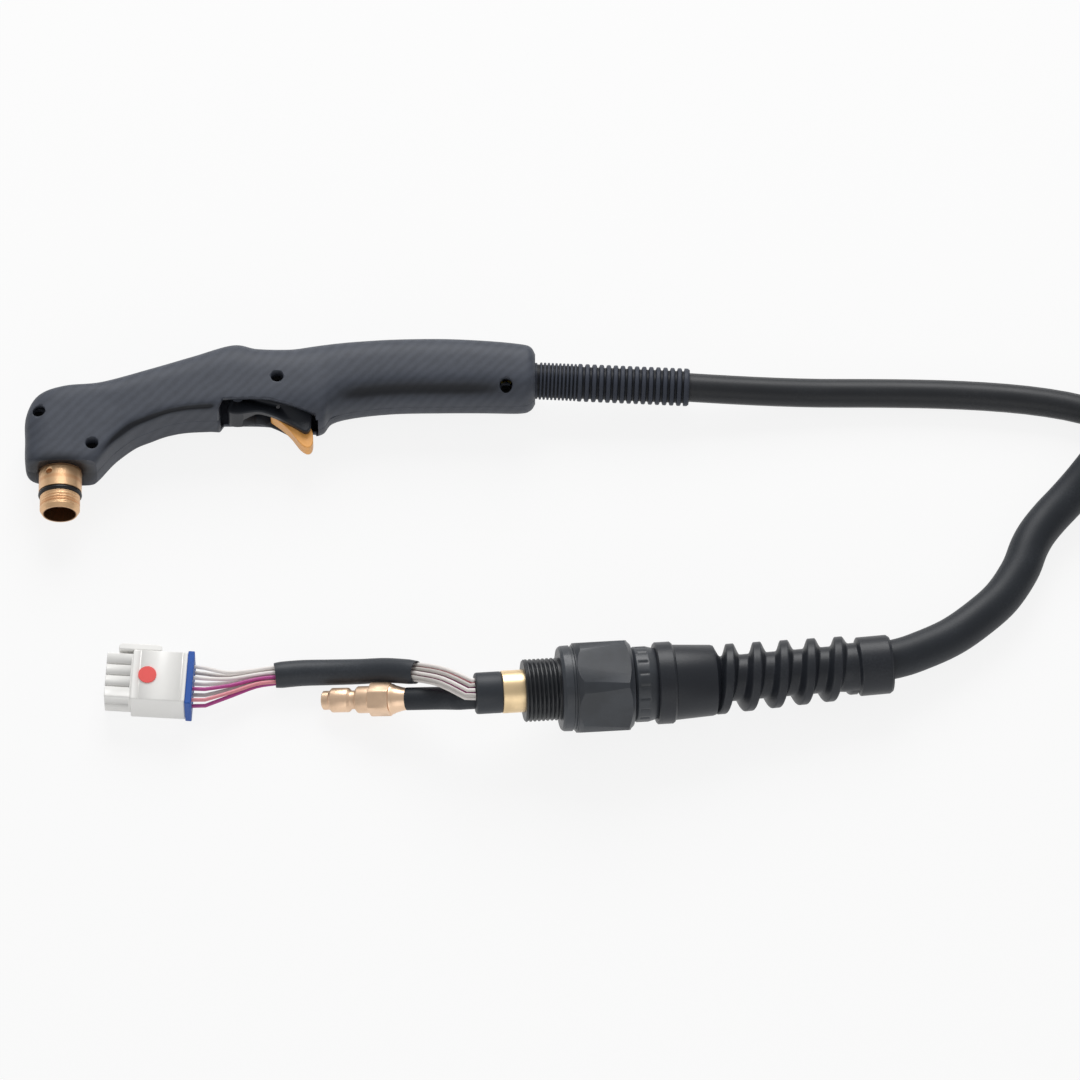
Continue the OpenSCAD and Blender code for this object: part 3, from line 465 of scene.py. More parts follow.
def relief(name, places, radius, bore, material, place, sides, angle):
    """Body of revolution whose radius also depends on the angle: radius(x, turn), turn 0 to 1.

    bore(x) is the radius of its hole, in millimetres like the rest.
    """
    verts = []
    for hole in (False, True):
        for x in places:
            for k in range(sides):
                a = 2 * math.pi * k / sides
                r = bore(x) if hole else radius(x, k / sides)
                verts.append((x, r * math.cos(a), r * math.sin(a)))
    return sleeve_piece(name, verts, sides, material, place, angle)


def recalc(o):
    """Points every face of a closed piece outwards."""
    b = bmesh.new()
    b.from_mesh(o.data)
    bmesh.ops.recalc_face_normals(b, faces=b.faces)
    b.to_mesh(o.data)
    b.free()


def tube(name, points, radii, bore, material, sides):
    """Hose through points in millimetres, with one radius for each."""
    last = len(points) - 1
    verts = []
    for wall in (radii, [bore] * len(points)):
        for i, (p, r) in enumerate(zip(points, wall)):
            t = (points[min(i + 1, last)] - points[max(i - 1, 0)]).normalized()
            side = Vector((-t.y, t.x, 0)).normalized()
            up = t.cross(side)
            for k in range(sides):
                a = 2 * math.pi * k / sides
                verts.append(p + r * (math.cos(a) * side + math.sin(a) * up))
    return sleeve_piece(name, verts, sides, material, None, 60)


def extruded(name, outline, low, high, material, bevel=0.0, angle=35):
    """Plate of an outline in X and Y, extruded from one height to another, with rounded edges."""
    verts = [(x, y, low) for x, y in outline]
    o = mesh_piece(name, verts, [tuple(range(len(outline)))], material)
    up = {"TRANSFORM_OT_translate": {"value": (0, 0, (high - low) * MM)}}
    shape(o, (bpy.ops.mesh.extrude_region_move, up), angle=angle)
    if bevel:
        soften(o, bevel, angle)
    return o


def soften(o, width, angle, segments=3):
    """Rounds a piece's sharp edges."""
    bpy.context.view_layer.objects.active = o
    m = o.modifiers.new("Edges", "BEVEL")
    m.width = width * MM
    m.segments = segments
    m.limit_method = "ANGLE"
    m.angle_limit = math.radians(angle)
    m.harden_normals = False
    bpy.ops.object.modifier_apply(modifier=m.name)
    o.select_set(True)
    finish_mesh(angle)


def combine(o, other, operation="DIFFERENCE"):
    """Cuts another piece out of this one, adds it or keeps what both share, and uses it up."""
    bpy.context.view_layer.objects.active = o
    least = 0.6 * len(o.data.polygons)
    m = o.modifiers.new("Combine", "BOOLEAN")
    m.operation = operation
    m.solver = "EXACT"
    m.object = other
    bpy.ops.object.modifier_apply(modifier=m.name)
    bpy.data.objects.remove(other)
    if len(o.data.polygons) < least:
        raise RuntimeError(f"{operation} left too little of {o.name}")
    return o


def prism(name, sides, radius, length, turn, place, material):
    """Prism of so many sides along the X of a place, which is its middle."""
    deselect()
    at = place @ Matrix.Rotation(turn, 4, "X") @ Matrix.Rotation(math.pi / 2, 4, "Y")
    bpy.ops.mesh.primitive_cylinder_add(vertices=sides, radius=radius * MM, depth=length * MM,
                                        location=at.translation, rotation=at.to_euler())
    bpy.ops.object.transform_apply(location=True, rotation=True, scale=True)
    o = take(name, material)
    finish_mesh()
    return o


def rod(radius, start, end, sides=48):
    """Plain cylinder between two points in millimetres, to cut or add."""
    start, end = Vector(start), Vector(end)
    along = end - start
    up = (0, 0, 1) if abs(along.normalized().z) < 0.9 else (1, 0, 0)
    place = matrix_on((start + end) / 2, along, up)
    return prism("rod", sides, radius, along.length, math.pi / sides, place, FINISH["shell"])


def block(low, high):
    """Plain box between two corners in millimetres, to add."""
    low, high = Vector(low) * MM, Vector(high) * MM
    deselect()
    bpy.ops.mesh.primitive_cube_add(size=1, location=(low + high) / 2, scale=high - low)
    bpy.ops.object.transform_apply(location=True, rotation=True, scale=True)
    o = take("block", FINISH["shell"])
    finish_mesh()
    return o


def put(o, body, slot, *nodes):
    """The piece rides on a body and stands for nodes; slot is not used."""
    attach(o, body)
    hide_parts(*nodes)


def steps(start, end, step):
    """Even places from start to end, both included."""
    n = max(1, round((end - start) / step))
    return [start + (end - start) * i / n for i in range(n + 1)]


def blend_value(x, low, high):
    """0 below low, 1 above high and smooth between."""
    t = max(0.0, min(1.0, (x - low) / (high - low)))
    return t * t * (3 - 2 * t)


def profile_at(points, x):
    """Height of a broken line of [x, y] points at a place."""
    if x <= points[0][0]:
        return points[0][1]
    for (xa, ya), (xb, yb) in zip(points, points[1:]):
        if x <= xb:
            return ya + (yb - ya) * (x - xa) / (xb - xa) if xb > xa else yb
    return points[-1][1]


# ---- finishes ------------------------------------------------------------------------------


def moulded(name, color, grain=0.00035, depth=0.00004, roughness=0.55, blotch=0.12, specular=0.5):
    """Textured moulded plastic: fine spark-eroded grain and faint cloudiness."""
    m = Paint(name, color, roughness, specular=specular)
    fine = m.noise(1 / grain, 2)
    cloud = m.noise(60, 3)
    dark, light = scaled(color, 1 - blotch), scaled(color, 1 + blotch)
    m.set("Base Color", m.mix(cloud.between(0.3, 0.7), dark, light))
    m.set("Roughness", fine * 0.12 + (roughness - 0.06))
    m.bump(fine, depth)
    return m


def from_head_axis(x, z):
    """Distance from the axis of the head's brass seat, in metres."""
    dx, dz = x - HEAD_X * MM, z - MID * MM
    return (dx * dx + dz * dz) ** 0.5


def striped_shell(name, color):
    """Handle plastic: faint diagonal flow marks, with painted shade in its grooves and a painted
    shadow round the seat.
    """
    m = moulded(name, color, roughness=0.5, specular=0.24)
    x, y, z = m.axes()
    drift = m.noise(30, 3) * 9
    mark_pitch = 0.0058
    marks = ((x - y - z * 0.5) * (2 * math.pi / mark_pitch) + drift).sine()
    soft = m.noise(170, 4, 0.7).between(0.32, 0.68)
    broad = m.noise(28, 2).between(0.3, 0.7)
    shade = marks.between(-1.0, 1.0) * 0.4 + soft * 0.35 + broad * 0.25
    skin = m.mix(shade, scaled(color, 0.84), scaled(color, 1.22))
    # Painted shade in the grooves, as strong as the groove's depth kept on the points
    groove_shade = m.node("ShaderNodeAttribute", {"attribute_name": "groove_shade"}, out="Fac")
    # Painted shadow on the head's face round the brass seat
    around = 1 - from_head_axis(x, z).between(0.0125, 0.0205)
    seat_shadow = around * (1 - y.between((HEAD_Y + 0.5) * MM, (HEAD_Y + 6) * MM)) * 0.9
    # Colour of the painted groove shade and of the painted shadow round the seat
    dark = scaled(color, 0.14)
    shaded_skin = m.mix(groove_shade.between(0.0, 1.0) * 0.88, skin, dark)
    m.set("Base Color", m.mix(seat_shadow, shaded_skin, dark))
    return m


def seat_brass(name, color):
    """Turned brass of the head, in painted dark reflection bands and with painted shade inside its
    cup.
    """
    m = turned_metal(name, color, (0, 1, 0), roughness=0.36, tarnish=0.3)
    x, y, z = m.axes()
    # Painted shade inside the cup, in dark brown
    near = 1 - from_head_axis(x, z).between(0.0079, 0.0086)
    cup = near * (1 - y.between((HEAD_Y - 10) * MM, (HEAD_Y - 8) * MM))
    # Rings of darker colour round the seat: painted reflection bands
    band_pitch = 0.0061
    reflection_waves = (y * (2 * math.pi / band_pitch) + m.noise(40, 2) * 2).sine()
    reflection_tint = tuple(c * k for c, k in zip(color, (0.82, 0.62, 0.5)))
    reflection_banded = m.mix(reflection_waves.between(0.2, 1.0) * 0.5, color, reflection_tint)
    m.set("Base Color", m.mix(cup, reflection_banded, srgb(104, 70, 44)))
    return m


def rubber(name, color, roughness=0.62, depth=0.00005):
    """Matt rubber with dust in its grain."""
    m = Paint(name, color, roughness, specular=0.35)
    cloud = m.noise(45, 4)
    dust = m.noise(900, 2)
    light = tuple(c * 1.35 + 0.006 for c in color)
    dusty = cloud.between(0.35, 0.75) * dust.between(0.3, 0.8)
    m.set("Base Color", m.mix(dusty, color, light))
    m.set("Roughness", cloud * 0.18 + (roughness - 0.09))
    m.bump(m.noise(1600, 2), depth)
    return m


def ribbed_rubber(name, color):
    """Rubber of the front boot, with painted highlight on its crests and painted shade dark in its
    grooves.
    """
    m = rubber(name, color, 0.45)
    m.set("Specular IOR Level", 0.16)
    start = BOOT_BEND * MM
    x, y, z = m.axes()
    dx, dy, dz = x - start.x, y - start.y, z - start.z
    on = m.along(tuple(BOOT_AXIS), tuple(start))
    away = (dx * dx + dy * dy + dz * dz - on * on) ** 0.5
    # Full colour on the crests, a quarter of it deep between the ribs: painted highlight and
    # painted shade
    m.set("Base Color", m.mix(away.between(0.0082, 0.0092), scaled(color, 0.25), color))
    return m


def turned_metal(name, color, axis, roughness=0.34, tarnish=0.2, metallic=0.7):
    """Metal with fine lines of turning round an axis and patches of tarnish."""
    m = Paint(name, color, roughness, metallic=metallic)
    line_pitch = 0.00035
    lines = (m.along(axis) * (2 * math.pi / line_pitch) + m.noise(300, 2) * 3).sine()
    patch = m.noise(90, 4).between(0.42, 0.72)
    m.set("Base Color", m.mix(patch, color, scaled(color, 1 - tarnish)))
    m.set("Roughness", patch * 0.12 + lines * 0.03 + roughness)
    m.bump(lines, 0.000004)
    return m


def insulation(name, color):
    """Glossy extruded wire insulation."""
    m = Paint(name, color, 0.36)
    cloud = m.noise(140, 3)
    m.set("Base Color", m.mix(cloud, color, scaled(color, 0.82)))
    m.set("Roughness", cloud * 0.15 + 0.28)
    m.bump(m.noise(700, 2), 0.00002)
    return m


def woven(name, color):
    """Woven strap."""
    m = Paint(name, color, 0.85, specular=0.2)
    x, y, z = m.axes()
    threads = 5200
    weave = ((x + z) * threads).sine() * ((y - z) * threads).sine()
    m.set("Base Color", m.mix(weave.between(-1, 1), scaled(color, 0.6), color))
    m.bump(weave, 0.0001)
    return m


FINISH = {}


def make_finishes():
    """Fills FINISH with every material, by the names that NODE_FINISH uses."""
    f = FINISH
    sizes = bpy.context.scene.torch_sizes
    f["shell"] = striped_shell("Handle plastic", tuple(sizes.handle_color))
    f["trigger"] = moulded(
        "Trigger plastic", srgb(40, 43, 49), roughness=0.4, blotch=0.06, specular=0.25)
    f["orange"] = moulded("Safety orange", tuple(sizes.lever_color), 0.0006, 0.00002, 0.38, 0.05)
    f["black"] = moulded("Black nylon", srgb(52, 56, 62), roughness=0.4, blotch=0.2)
    f["collar"] = moulded("Collar nylon", srgb(28, 31, 35), roughness=0.4)
    f["insulator"] = moulded("Insulator", srgb(40, 40, 42))
    f["white"] = moulded("White nylon", tuple(sizes.plug_color), 0.0005, 0.00002, 0.35, 0.02)
    f["dot"] = moulded("Marker red", tuple(sizes.dot_color), 0.0004, 0.00001, 0.5, 0.05)
    f["button"] = moulded("Button red", srgb(200, 70, 50), roughness=0.4)
    f["rubber"] = rubber("Boot rubber", srgb(36, 39, 45), 0.4)
    # The front boot is a lighter copy of the boot rubber: painted highlight on its ribs
    f["boot"] = ribbed_rubber("Front boot rubber", srgb(62, 66, 76))
    f["jacket"] = rubber("Lead jacket", srgb(36, 38, 42), 0.46, 0.00003)
    f["sleeve"] = rubber("Sleeve rubber", srgb(36, 40, 46), 0.5)
    f["seal"] = rubber("Blue seal", tuple(sizes.seal_color), 0.45, 0.00002)
    f["ring"] = rubber("Ring rubber", srgb(24, 24, 26), 0.35, 0.00001)
    f["shrink"] = rubber("Shrink sleeve", srgb(48, 52, 58), 0.48)
    f["brass"] = seat_brass("Head brass", srgb(236, 194, 150))
    f["gland_brass"] = turned_metal("Tube brass", srgb(250, 222, 176), tuple(GLAND_AXIS))
    f["plug_brass"] = turned_metal("Plug brass", srgb(246, 212, 180), tuple(PLUG_AXIS))
    f["contact"] = turned_metal("Contact metal", srgb(214, 184, 116), (1, 0, 0))
    f["copper"] = turned_metal("Copper", srgb(190, 122, 88), (0, 1, 0), metallic=1.0)
    f["steel"] = turned_metal("Ground steel", srgb(188, 188, 192), (0, 0, 1))
    f["black_steel"] = turned_metal("Blackened steel", srgb(40, 40, 42), (0, 0, 1), roughness=0.4)
    f["strap"] = woven("Strap weave", srgb(52, 53, 58))
    f["wire_white"] = insulation("Wire white", srgb(250, 244, 240))
    f["wire_grey"] = insulation("Wire grey", srgb(206, 201, 196))
    f["wire_violet"] = insulation("Wire violet", srgb(192, 74, 152))
    f["wire_pink"] = insulation("Wire pink", srgb(238, 150, 160))
    f["wire_red"] = insulation("Wire red", srgb(190, 36, 30))
    f["wire_yellow"] = insulation("Wire yellow", srgb(224, 208, 90))


NODE_FINISH = {
    "handle_shell_upper": "shell", "handle_shell_lower": "shell", "handle_screws": "black_steel",
    "head_insulator": "insulator", "head_seat": "brass", "head_o_ring": "ring",
    "cathode": "copper", "contact_plunger": "brass", "plunger_spring": "steel",
    "cap_switch": "black", "cap_plunger": "white", "gas_tube": "copper", "pilot_wire": "wire_red",
    "trigger": "trigger", "trigger_pin": "steel", "trigger_spring": "steel",
    "safety_lever": "orange", "lever_pin": "steel", "lever_spring": "steel",
    "start_switch": "black", "switch_plunger": "button", "switch_wires": "wire_yellow",
    "wire_crimps": "steel", "front_boot": "rubber", "lead_torch_run": "jacket",
    "lead_coil": "jacket", "lead_machine_run": "jacket", "lead_ties": "strap",
    "lead_sleeve": "sleeve", "rear_boot": "rubber", "boot_ring": "black", "lock_nut": "black",
    "gland_collar": "black", "gland_washer": "ring", "entry_tube": "gland_brass",
    "bundle_sleeve": "shrink", "gas_hose": "sleeve", "hose_barb": "plug_brass",
    "gas_plug": "plug_brass", "wires_white": "wire_white", "wires_grey": "wire_grey",
    "wires_violet": "wire_violet", "wire_pink": "wire_pink", "wire_sleeve": "shrink",
    "plug_housing": "white", "plug_key": "white", "plug_seal": "seal",
    "plug_contacts": "contact", "plug_dot": "dot",
}


# ---- sizes and colours that a user may change ------------------------------------------------


class TorchSizes(bpy.types.PropertyGroup):
    handle_color: FloatVectorProperty(
        name="Handle", description="Colour of the handle shells", subtype="COLOR",
        size=3, default=srgb(69, 73, 82), min=0, max=1)
    lever_color: FloatVectorProperty(
        name="Safety lever", description="Colour of the safety lever", subtype="COLOR",
        size=3, default=srgb(255, 182, 98), min=0, max=1)
    plug_color: FloatVectorProperty(
        name="Control plug", description="Colour of the control plug", subtype="COLOR",
        size=3, default=srgb(250, 249, 246), min=0, max=1)
    seal_color: FloatVectorProperty(
        name="Seal", description="Colour of the control plug's seal", subtype="COLOR",
        size=3, default=srgb(34, 84, 168), min=0, max=1)
    dot_color: FloatVectorProperty(
        name="Marker", description="Colour of the round marker", subtype="COLOR",
        size=3, default=srgb(238, 84, 80), min=0, max=1)
    lead_radius: FloatProperty(
        name="Lead radius", description="Outside radius of the lead", default=LEAD_R * MM,
        min=0.005, max=0.01, unit="LENGTH")
    coil_steps: IntProperty(
        name="Coil steps", description="Points in each turn of the coil", default=48,
        min=24, max=96)


class StageSizes(bpy.types.PropertyGroup):
    floor_color: FloatVectorProperty(
        name="Floor", description="Colour of the floor", subtype="COLOR",
        size=3, default=(0.8, 0.8, 0.8), min=0, max=1)
    lens: FloatProperty(
        name="Lens", description="Focal length of the camera", default=408, min=50, max=1000,
        unit="CAMERA")
    distance: FloatProperty(
        name="Distance", description="From the camera to the middle of the view", default=6,
        min=1, max=20, unit="LENGTH")


# ---- handle --------------------------------------------------------------------------------

MID = 16.5
HEAD_X, HEAD_Y = -108.3, -23.7
LEAD_Y = 27.3
WALL = 2.4
# Underside point, top point, half thickness and the powers of the section's back and underside,
# from the head to the rear
SECTIONS = [
    ((-90.4, HEAD_Y), (-121.6, HEAD_Y), 13.9, 4.2, 6), ((-88, -20.6), (-125.4, -21.4), 14.4, 4, 8),
    ((-82.6, -13.9), (-125.9, -9), 14.5, 3.9, 9), ((-77, -8.8), (-125.8, 4), 14.6, 3.7, 9),
    ((-70.8, -4.2), (-120.6, 15.2), 14.7, 3.5, 9), ((-64, -1.1), (-109, 20.4), 14.8, 3.3, 9),
    ((-56.5, 2.1), (-90.5, 22.5), 15, 3.1, 9), ((-47.8, 4.1), (-66, 30.1), 15.2, 2.9, 9),
    ((-38, 4.8), (-44, 37.5), 15.5, 2.8, 9), ((-29, 4.8), (-24, 44.1), 15.8, 2.7, 8),
    ((-13, 3), (-12, 41.9), 16.2, 2.7, 5), ((4, 0.2), (4, 41.6), MID, 2.7, 3.4),
    ((15, -0.6), (15, 43.3), MID, 2.7, 2.8), ((20.6, 1), (21, 44.2), MID, 2.7, 2.8),
    ((25, 6.8), (28, 44.9), MID, 2.7, 2.9), ((36.4, 10), (38, 45.8), MID, 2.7, 3),
    ((56, 12.2), (56, 46.9), MID, 2.7, 3), ((80, 12.7), (80, 47.2), MID, 2.7, 3),
    ((102, 12.8), (102, 46), MID, 2.7, 3), ((117.8, 13), (117.8, 44.2), 16.4, 2.7, 3),
    ((122.8, 14.7), (122.8, 42.4), 15.7, 2.8, 3), ((125, 17.6), (125, 38.8), 13.4, 2.8, 2.8),
]
# Place, height of the screw head's seat above the parting plane, and height of the boss
SCREWS = [(-119, 3.8, 4, 8), (-92.6, -14.6, 6, 12.6), (-2, 21.5, 8, 14.6), (110.7, 18, 5, 8.2)]
BOSS_R, SCREW_HEAD_R, SCREW_CLEAR_R, SCREW_HOLE_R = 4.2, 3.2, 1.65, 1.5
# Holes along the head's axis, by radius, start and end from its face, and holes round the lead, by
# radius, start, end and sides
HEAD_BORES = [(10.75, 6, -6), (11.3, 22, 3.4), (8.65, 30.5, 21.9)]
LEAD_BORES = [(9.1, 113.3, 132, 70), (10.7, 112.5, 121.4, 74)]
# Depth of the moulded groove, and its middle and width as shares of the section's half height
GRIP_GROOVE = (1.8, -0.77, 0.16)
HEAD_GROOVE = (1.3, -0.93, 0.048)
# Depths of the groove at which its painted shade is darkest
GRIP_DARK, HEAD_DARK = 1.8, 0.9
# Ribs and blocks inside the handle, by two corners with heights above the parting plane
BLOCKS = (((-122.5, -8, 0.02), (-95, -5, 9.52)), ((-15, 26.3, 0.02), (-9, 28.3, 14.62)),
          ((12, 22, 4), (16.5, 27, 15)))
# Half widths of the trigger's bay, the trigger, its slot and the lever, and radii of the pins
BAY_HALF, TRIGGER_HALF, SLOT_HALF, LEVER_HALF = 8.5, 7.5, 4.4, 4
TRIGGER_PIN_R, LEVER_PIN_R = 1.5, 1.0
PIN_BOSS_R = 3.4
TRIGGER_PIVOT = (-21.5, 14.5)
LEVER_PIVOT = (-1.5, 9)


def section_at(u):
    """Section between the listed ones, on a Catmull-Rom curve through them."""
    i = min(int(u), len(SECTIONS) - 2)
    t = u - i
    rows = []
    for j in (-1, 0, 1, 2):
        low, top, half, back, under = SECTIONS[max(0, min(len(SECTIONS) - 1, i + j))]
        rows.append((*low, *top, half, back, under))
    v = [spline_point(*near, t) for near in zip(*rows)]
    return Vector(v[0:2]), Vector(v[2:4]), v[4], v[5], v[6]


def groove_depth(x, share):
    """Depth of the moulded groove beside the underside, narrow at the head and wide on the grip."""
    grip = blend_value(x, 20, 40) * (1 - blend_value(x, 92, 122))
    head = blend_value(x, -92, -78) * (1 - blend_value(x, -36, -31))
    return sum(deep * reach * math.exp(-((share - middle) / width) ** 2)
               for (deep, middle, width), reach in ((GRIP_GROOVE, grip), (HEAD_GROOVE, head)))


def rim(u, angle, inset):
    """Point of the handle's skin, and how much painted shade the groove gets there: angle 180 is
    the underside.
    """
    low, top, half, back, under = section_at(u)
    middle = (low + top) / 2
    axis = (top - low).normalized()
    reach = (top - low).length / 2 - inset
    c = math.cos(math.radians(angle))
    power = under if c < 0 else back
    across = math.copysign(abs(c) ** 0.6, c)
    up = max(0.0, 1 - abs(across) ** power) ** (1 / power)
    p = middle + axis * reach * across
    dip = groove_depth(p.x, across) * min(1, up * 1.4)
    z = (half - inset) * up - (0 if inset else dip)
    return Vector((p.x, p.y, z)), dip / (GRIP_DARK if p.x > 0 else HEAD_DARK)


def half_handle(name, side):
    """One moulded half of the handle, hollow, above (1) or below (-1) the parting plane."""
    last = len(SECTIONS) - 1
    rings, arcs = last * 8 + 1, 60
    lip, inner_lip = 0.15, 0.05
    inner_from, inner_run = 0.9, last - 2.7
    angles = [180 * k / arcs for k in range(arcs + 1)]
    outer, inner, shade_amounts = [], [], []
    for i in range(rings):
        u = last * i / (rings - 1)
        row = [rim(u, a, 0) for a in angles]
        shade_amounts += [0, *[dip for _, dip in row], 0]
        row = [p for p, _ in row]
        outer += [rim(u, 0, lip)[0], row[0] + Vector((0, 0, lip)), *row[1:-1],
                  row[-1] + Vector((0, 0, lip)), rim(u, 180, lip)[0]]
        v = inner_from + inner_run * i / (rings - 1)
        row = [rim(v, a, WALL)[0] for a in angles]
        inner += [row[0], row[0] + Vector((0, 0, inner_lip)), *row[1:-1],
                  row[-1] + Vector((0, 0, inner_lip)), row[-1]]
    m = arcs + 3
    q = rings * m
    faces = []
    for i in range(rings - 1):
        for k in range(m - 1):
            a = i * m + k
            faces.append((a, a + m, a + m + 1, a + 1))
            faces.append((q + a, q + a + 1, q + a + m + 1, q + a + m))
        for k in (0, m - 1):
            a = i * m + k
            faces.append((a, q + a, q + a + m, a + m))
    e = (rings - 1) * m
    faces += [tuple(range(m)), tuple(e + k for k in range(m - 1, -1, -1))]
    faces += [tuple(q + k for k in range(m - 1, -1, -1)), tuple(q + e + k for k in range(m))]
    faces += [(0, m - 1, q + m - 1, q), (e, q + e, q + e + m - 1, e + m - 1)]
    verts = [(p.x, p.y, MID + side * p.z) for p in outer + inner]
    o = mesh_piece(name, verts, faces, FINISH["shell"], None, 28)
    recalc(o)
    # The groove's depth at each outer point, kept for the painted shade in the groove
    groove_shade = o.data.attributes.new("groove_shade", "FLOAT", "POINT")
    groove_shade.data.foreach_set("value", shade_amounts + [0.0] * len(inner))

    def up(z):
        return MID + side * z

    for x, y, _, tall in SCREWS:
        combine(o, rod(BOSS_R, (x, y, up(0.02)), (x, y, up(tall))), "UNION")
    x, y = TRIGGER_PIVOT
    combine(o, rod(PIN_BOSS_R, (x, y, up(BAY_HALF)), (x, y, up(14.7))), "UNION")
    for low, high in BLOCKS:
        z = sorted((up(low[2]), up(high[2])))
        combine(o, block((*low[:2], z[0]), (*high[:2], z[1])), "UNION")
    bay = [(-31.5, -4), (-29.5, 4), (-29.5, 19.5), (18.2, 19.5), (18.2, -4)]
    combine(o, extruded("bay", bay, MID - BAY_HALF, MID + BAY_HALF, FINISH["shell"]))
    bend = [(-31.6, 4.4), (-28.6, 9.9), (-9, 9.9), (2, 7.6), (16.8, 3.4)]
    under = [(-33.4, -6), bend[0], *curved(bend[1:], 6), (18.5, -6)]
    combine(o, extruded("under", under, -4, 37, FINISH["shell"]))
    for radius, start, end in HEAD_BORES:
        combine(o, rod(radius, (HEAD_X, HEAD_Y + start, MID), (HEAD_X, HEAD_Y + end, MID), 72))
    for radius, start, end, sides in LEAD_BORES:
        combine(o, rod(radius, (start, LEAD_Y, MID), (end, LEAD_Y, MID), sides))
    for x, y, seat, _ in SCREWS:
        if side > 0:
            combine(o, rod(SCREW_HEAD_R, (x, y, up(seat)), (x, y, up(24)), 40))
            combine(o, rod(SCREW_CLEAR_R, (x, y, up(-1)), (x, y, up(seat + 1)), 24))
        else:
            combine(o, rod(SCREW_HOLE_R, (x, y, up(-1)), (x, y, up(7.5)), 24))
    low, high = (*TRIGGER_PIVOT, up(7.5)), (*TRIGGER_PIVOT, up(11.5))
    combine(o, rod(TRIGGER_PIN_R, low, high, 24))
    finish_mesh(28)
    return o


class TORCH_OT_handle(bpy.types.Operator):
    """Moulds the two halves of the handle"""

    bl_idname = "torch.handle"
    bl_label = "Handle"

    def execute(self, context):
        for name, side in (("upper", 1), ("lower", -1)):
            put(half_handle(f"handle_half_{name}", side), "handle", "shell_plastic",
                f"handle_shell_{name}")
        return {"FINISHED"}


def drill(o, radius, pivot, sides):
    """Drills right through a piece at a pivot."""
    combine(o, rod(radius, (*pivot, MID - 9), (*pivot, MID + 9), sides))


def trigger_piece():
    """Trigger with a rounded finger side, slotted for the lever."""
    front = [(-25.2, 12.5), (-26.4, 8.2), (-25, 5.8), (-21, 5.2), (-16, 6), (-11, 6.4), (-6.5, 5.3),
             (-2, 3.4), (3, 0.6), (8, -2.4), (11.6, -4.7)]
    outline = curved(front, 4)
    outline += [(13.4, -4.5), (14.5, -2.6), (15, 4), (15, 8.6), (13, 10.6), (2, 13.6), (-10, 15.4)]
    x, y = TRIGGER_PIVOT
    eye = 4.2
    for a in [math.radians(80 + 10 * k) for k in range(10)]:
        outline.append((x + eye * math.cos(a), y + eye * math.sin(a)))
    low, high = MID - TRIGGER_HALF, MID + TRIGGER_HALF
    o = extruded("trigger_body", outline, low, high, FINISH["trigger"], 0.9)
    slot = [(-7.4, -8), (-7.4, 12.2), (4, 12.2), (16, 8.2), (16, -8)]
    combine(o, extruded("slot", slot, MID - SLOT_HALF, MID + SLOT_HALF, FINISH["trigger"]))
    corners = [(-18.6, 0, MID), (-18.6, 10, MID)]
    corners += [(px, py, MID + side * 4.38)
                for px in (-12.5, -7) for side in (-1, 1) for py in (0, 11.6)]
    faces = [(0, 1, 3, 2), (0, 4, 5, 1), (2, 3, 7, 6), (4, 8, 9, 5), (6, 7, 9, 8), (0, 2, 6, 8, 4),
             (1, 5, 9, 7, 3)]
    notch = mesh_piece("notch", corners, faces, FINISH["trigger"])
    recalc(notch)
    combine(o, notch)
    drill(o, TRIGGER_PIN_R + 0.04, TRIGGER_PIVOT, 32)
    drill(o, LEVER_PIN_R, LEVER_PIVOT, 24)
    finish_mesh(30)
    return o


def lever_piece():
    """Safety lever with a curved fin that ends in a rounded tip."""
    fin = [(-4.1, 9.8), (-4.1, 7.2), (-5.2, 6), (0, 1.8), (4.6, -2.8), (7.2, -6.4), (9.6, -9.6),
           (12.4, -11.6), (14.6, -11.2), (15.7, -8.6), (15.6, -4), (14.6, -1),
           (12, 1.4), (9, 3.6), (3.4, 7.4), (0.8, 10.4), (-1.6, 11.5)]
    low, high = MID - LEVER_HALF, MID + LEVER_HALF
    o = extruded("lever_body", smooth_outline(fin, 4), low, high, FINISH["orange"], 0.8, 50)
    drill(o, LEVER_PIN_R + 0.04, LEVER_PIVOT, 24)
    finish_mesh(30)
    return o


class TORCH_OT_trigger(bpy.types.Operator):
    """Makes the trigger and its safety lever"""

    bl_idname = "torch.trigger"
    bl_label = "Trigger"

    def execute(self, context):
        put(trigger_piece(), "trigger", "trigger_plastic", "trigger")
        put(lever_piece(), "safety_lever", "orange_plastic", "safety_lever")
        return {"FINISHED"}


# ---- head seat -------------------------------------------------------------------------------


SEAT_R, SEAT_THREAD_R, SEAT_PITCH = 10.6, 9.9, 1.5
# Start and end of the ring's groove, and where the thread gives way to the tapered nose
GROOVE_FROM, GROOVE_TO, NOSE_FROM = 11.3, 13.9, 20.9


def thread_cut(x, turn, pitch, width):
    """1 in the middle of a thread's groove, 0 on its crest."""
    phase = (x / pitch - turn) % 1
    return max(0.0, 1 - abs(phase - 0.5) / width)


def seat_radius(x, turn):
    """Outside of the brass seat at a depth below the head's face, with its thread."""
    if x < 0.8:
        return 10.3 + 0.3 * blend_value(x, 0.3, 0.8)
    if x < GROOVE_FROM:
        return SEAT_R
    if x < GROOVE_TO:
        return 8.6
    if x > NOSE_FROM:
        return SEAT_THREAD_R - 1.25 * (x - NOSE_FROM) / 2
    cut = thread_cut(x, turn, SEAT_PITCH, 0.32)
    return SEAT_THREAD_R - 0.5 * cut * blend_value(x, 14.3, 15.2) * (1 - blend_value(x, 20, 20.8))


def seat_bore(x):
    """Hole through the seat, wider in its cup."""
    return 4.6 if x < 7.9 else 4.6 + 3.2 * blend_value(x, 7.9, 8.9)


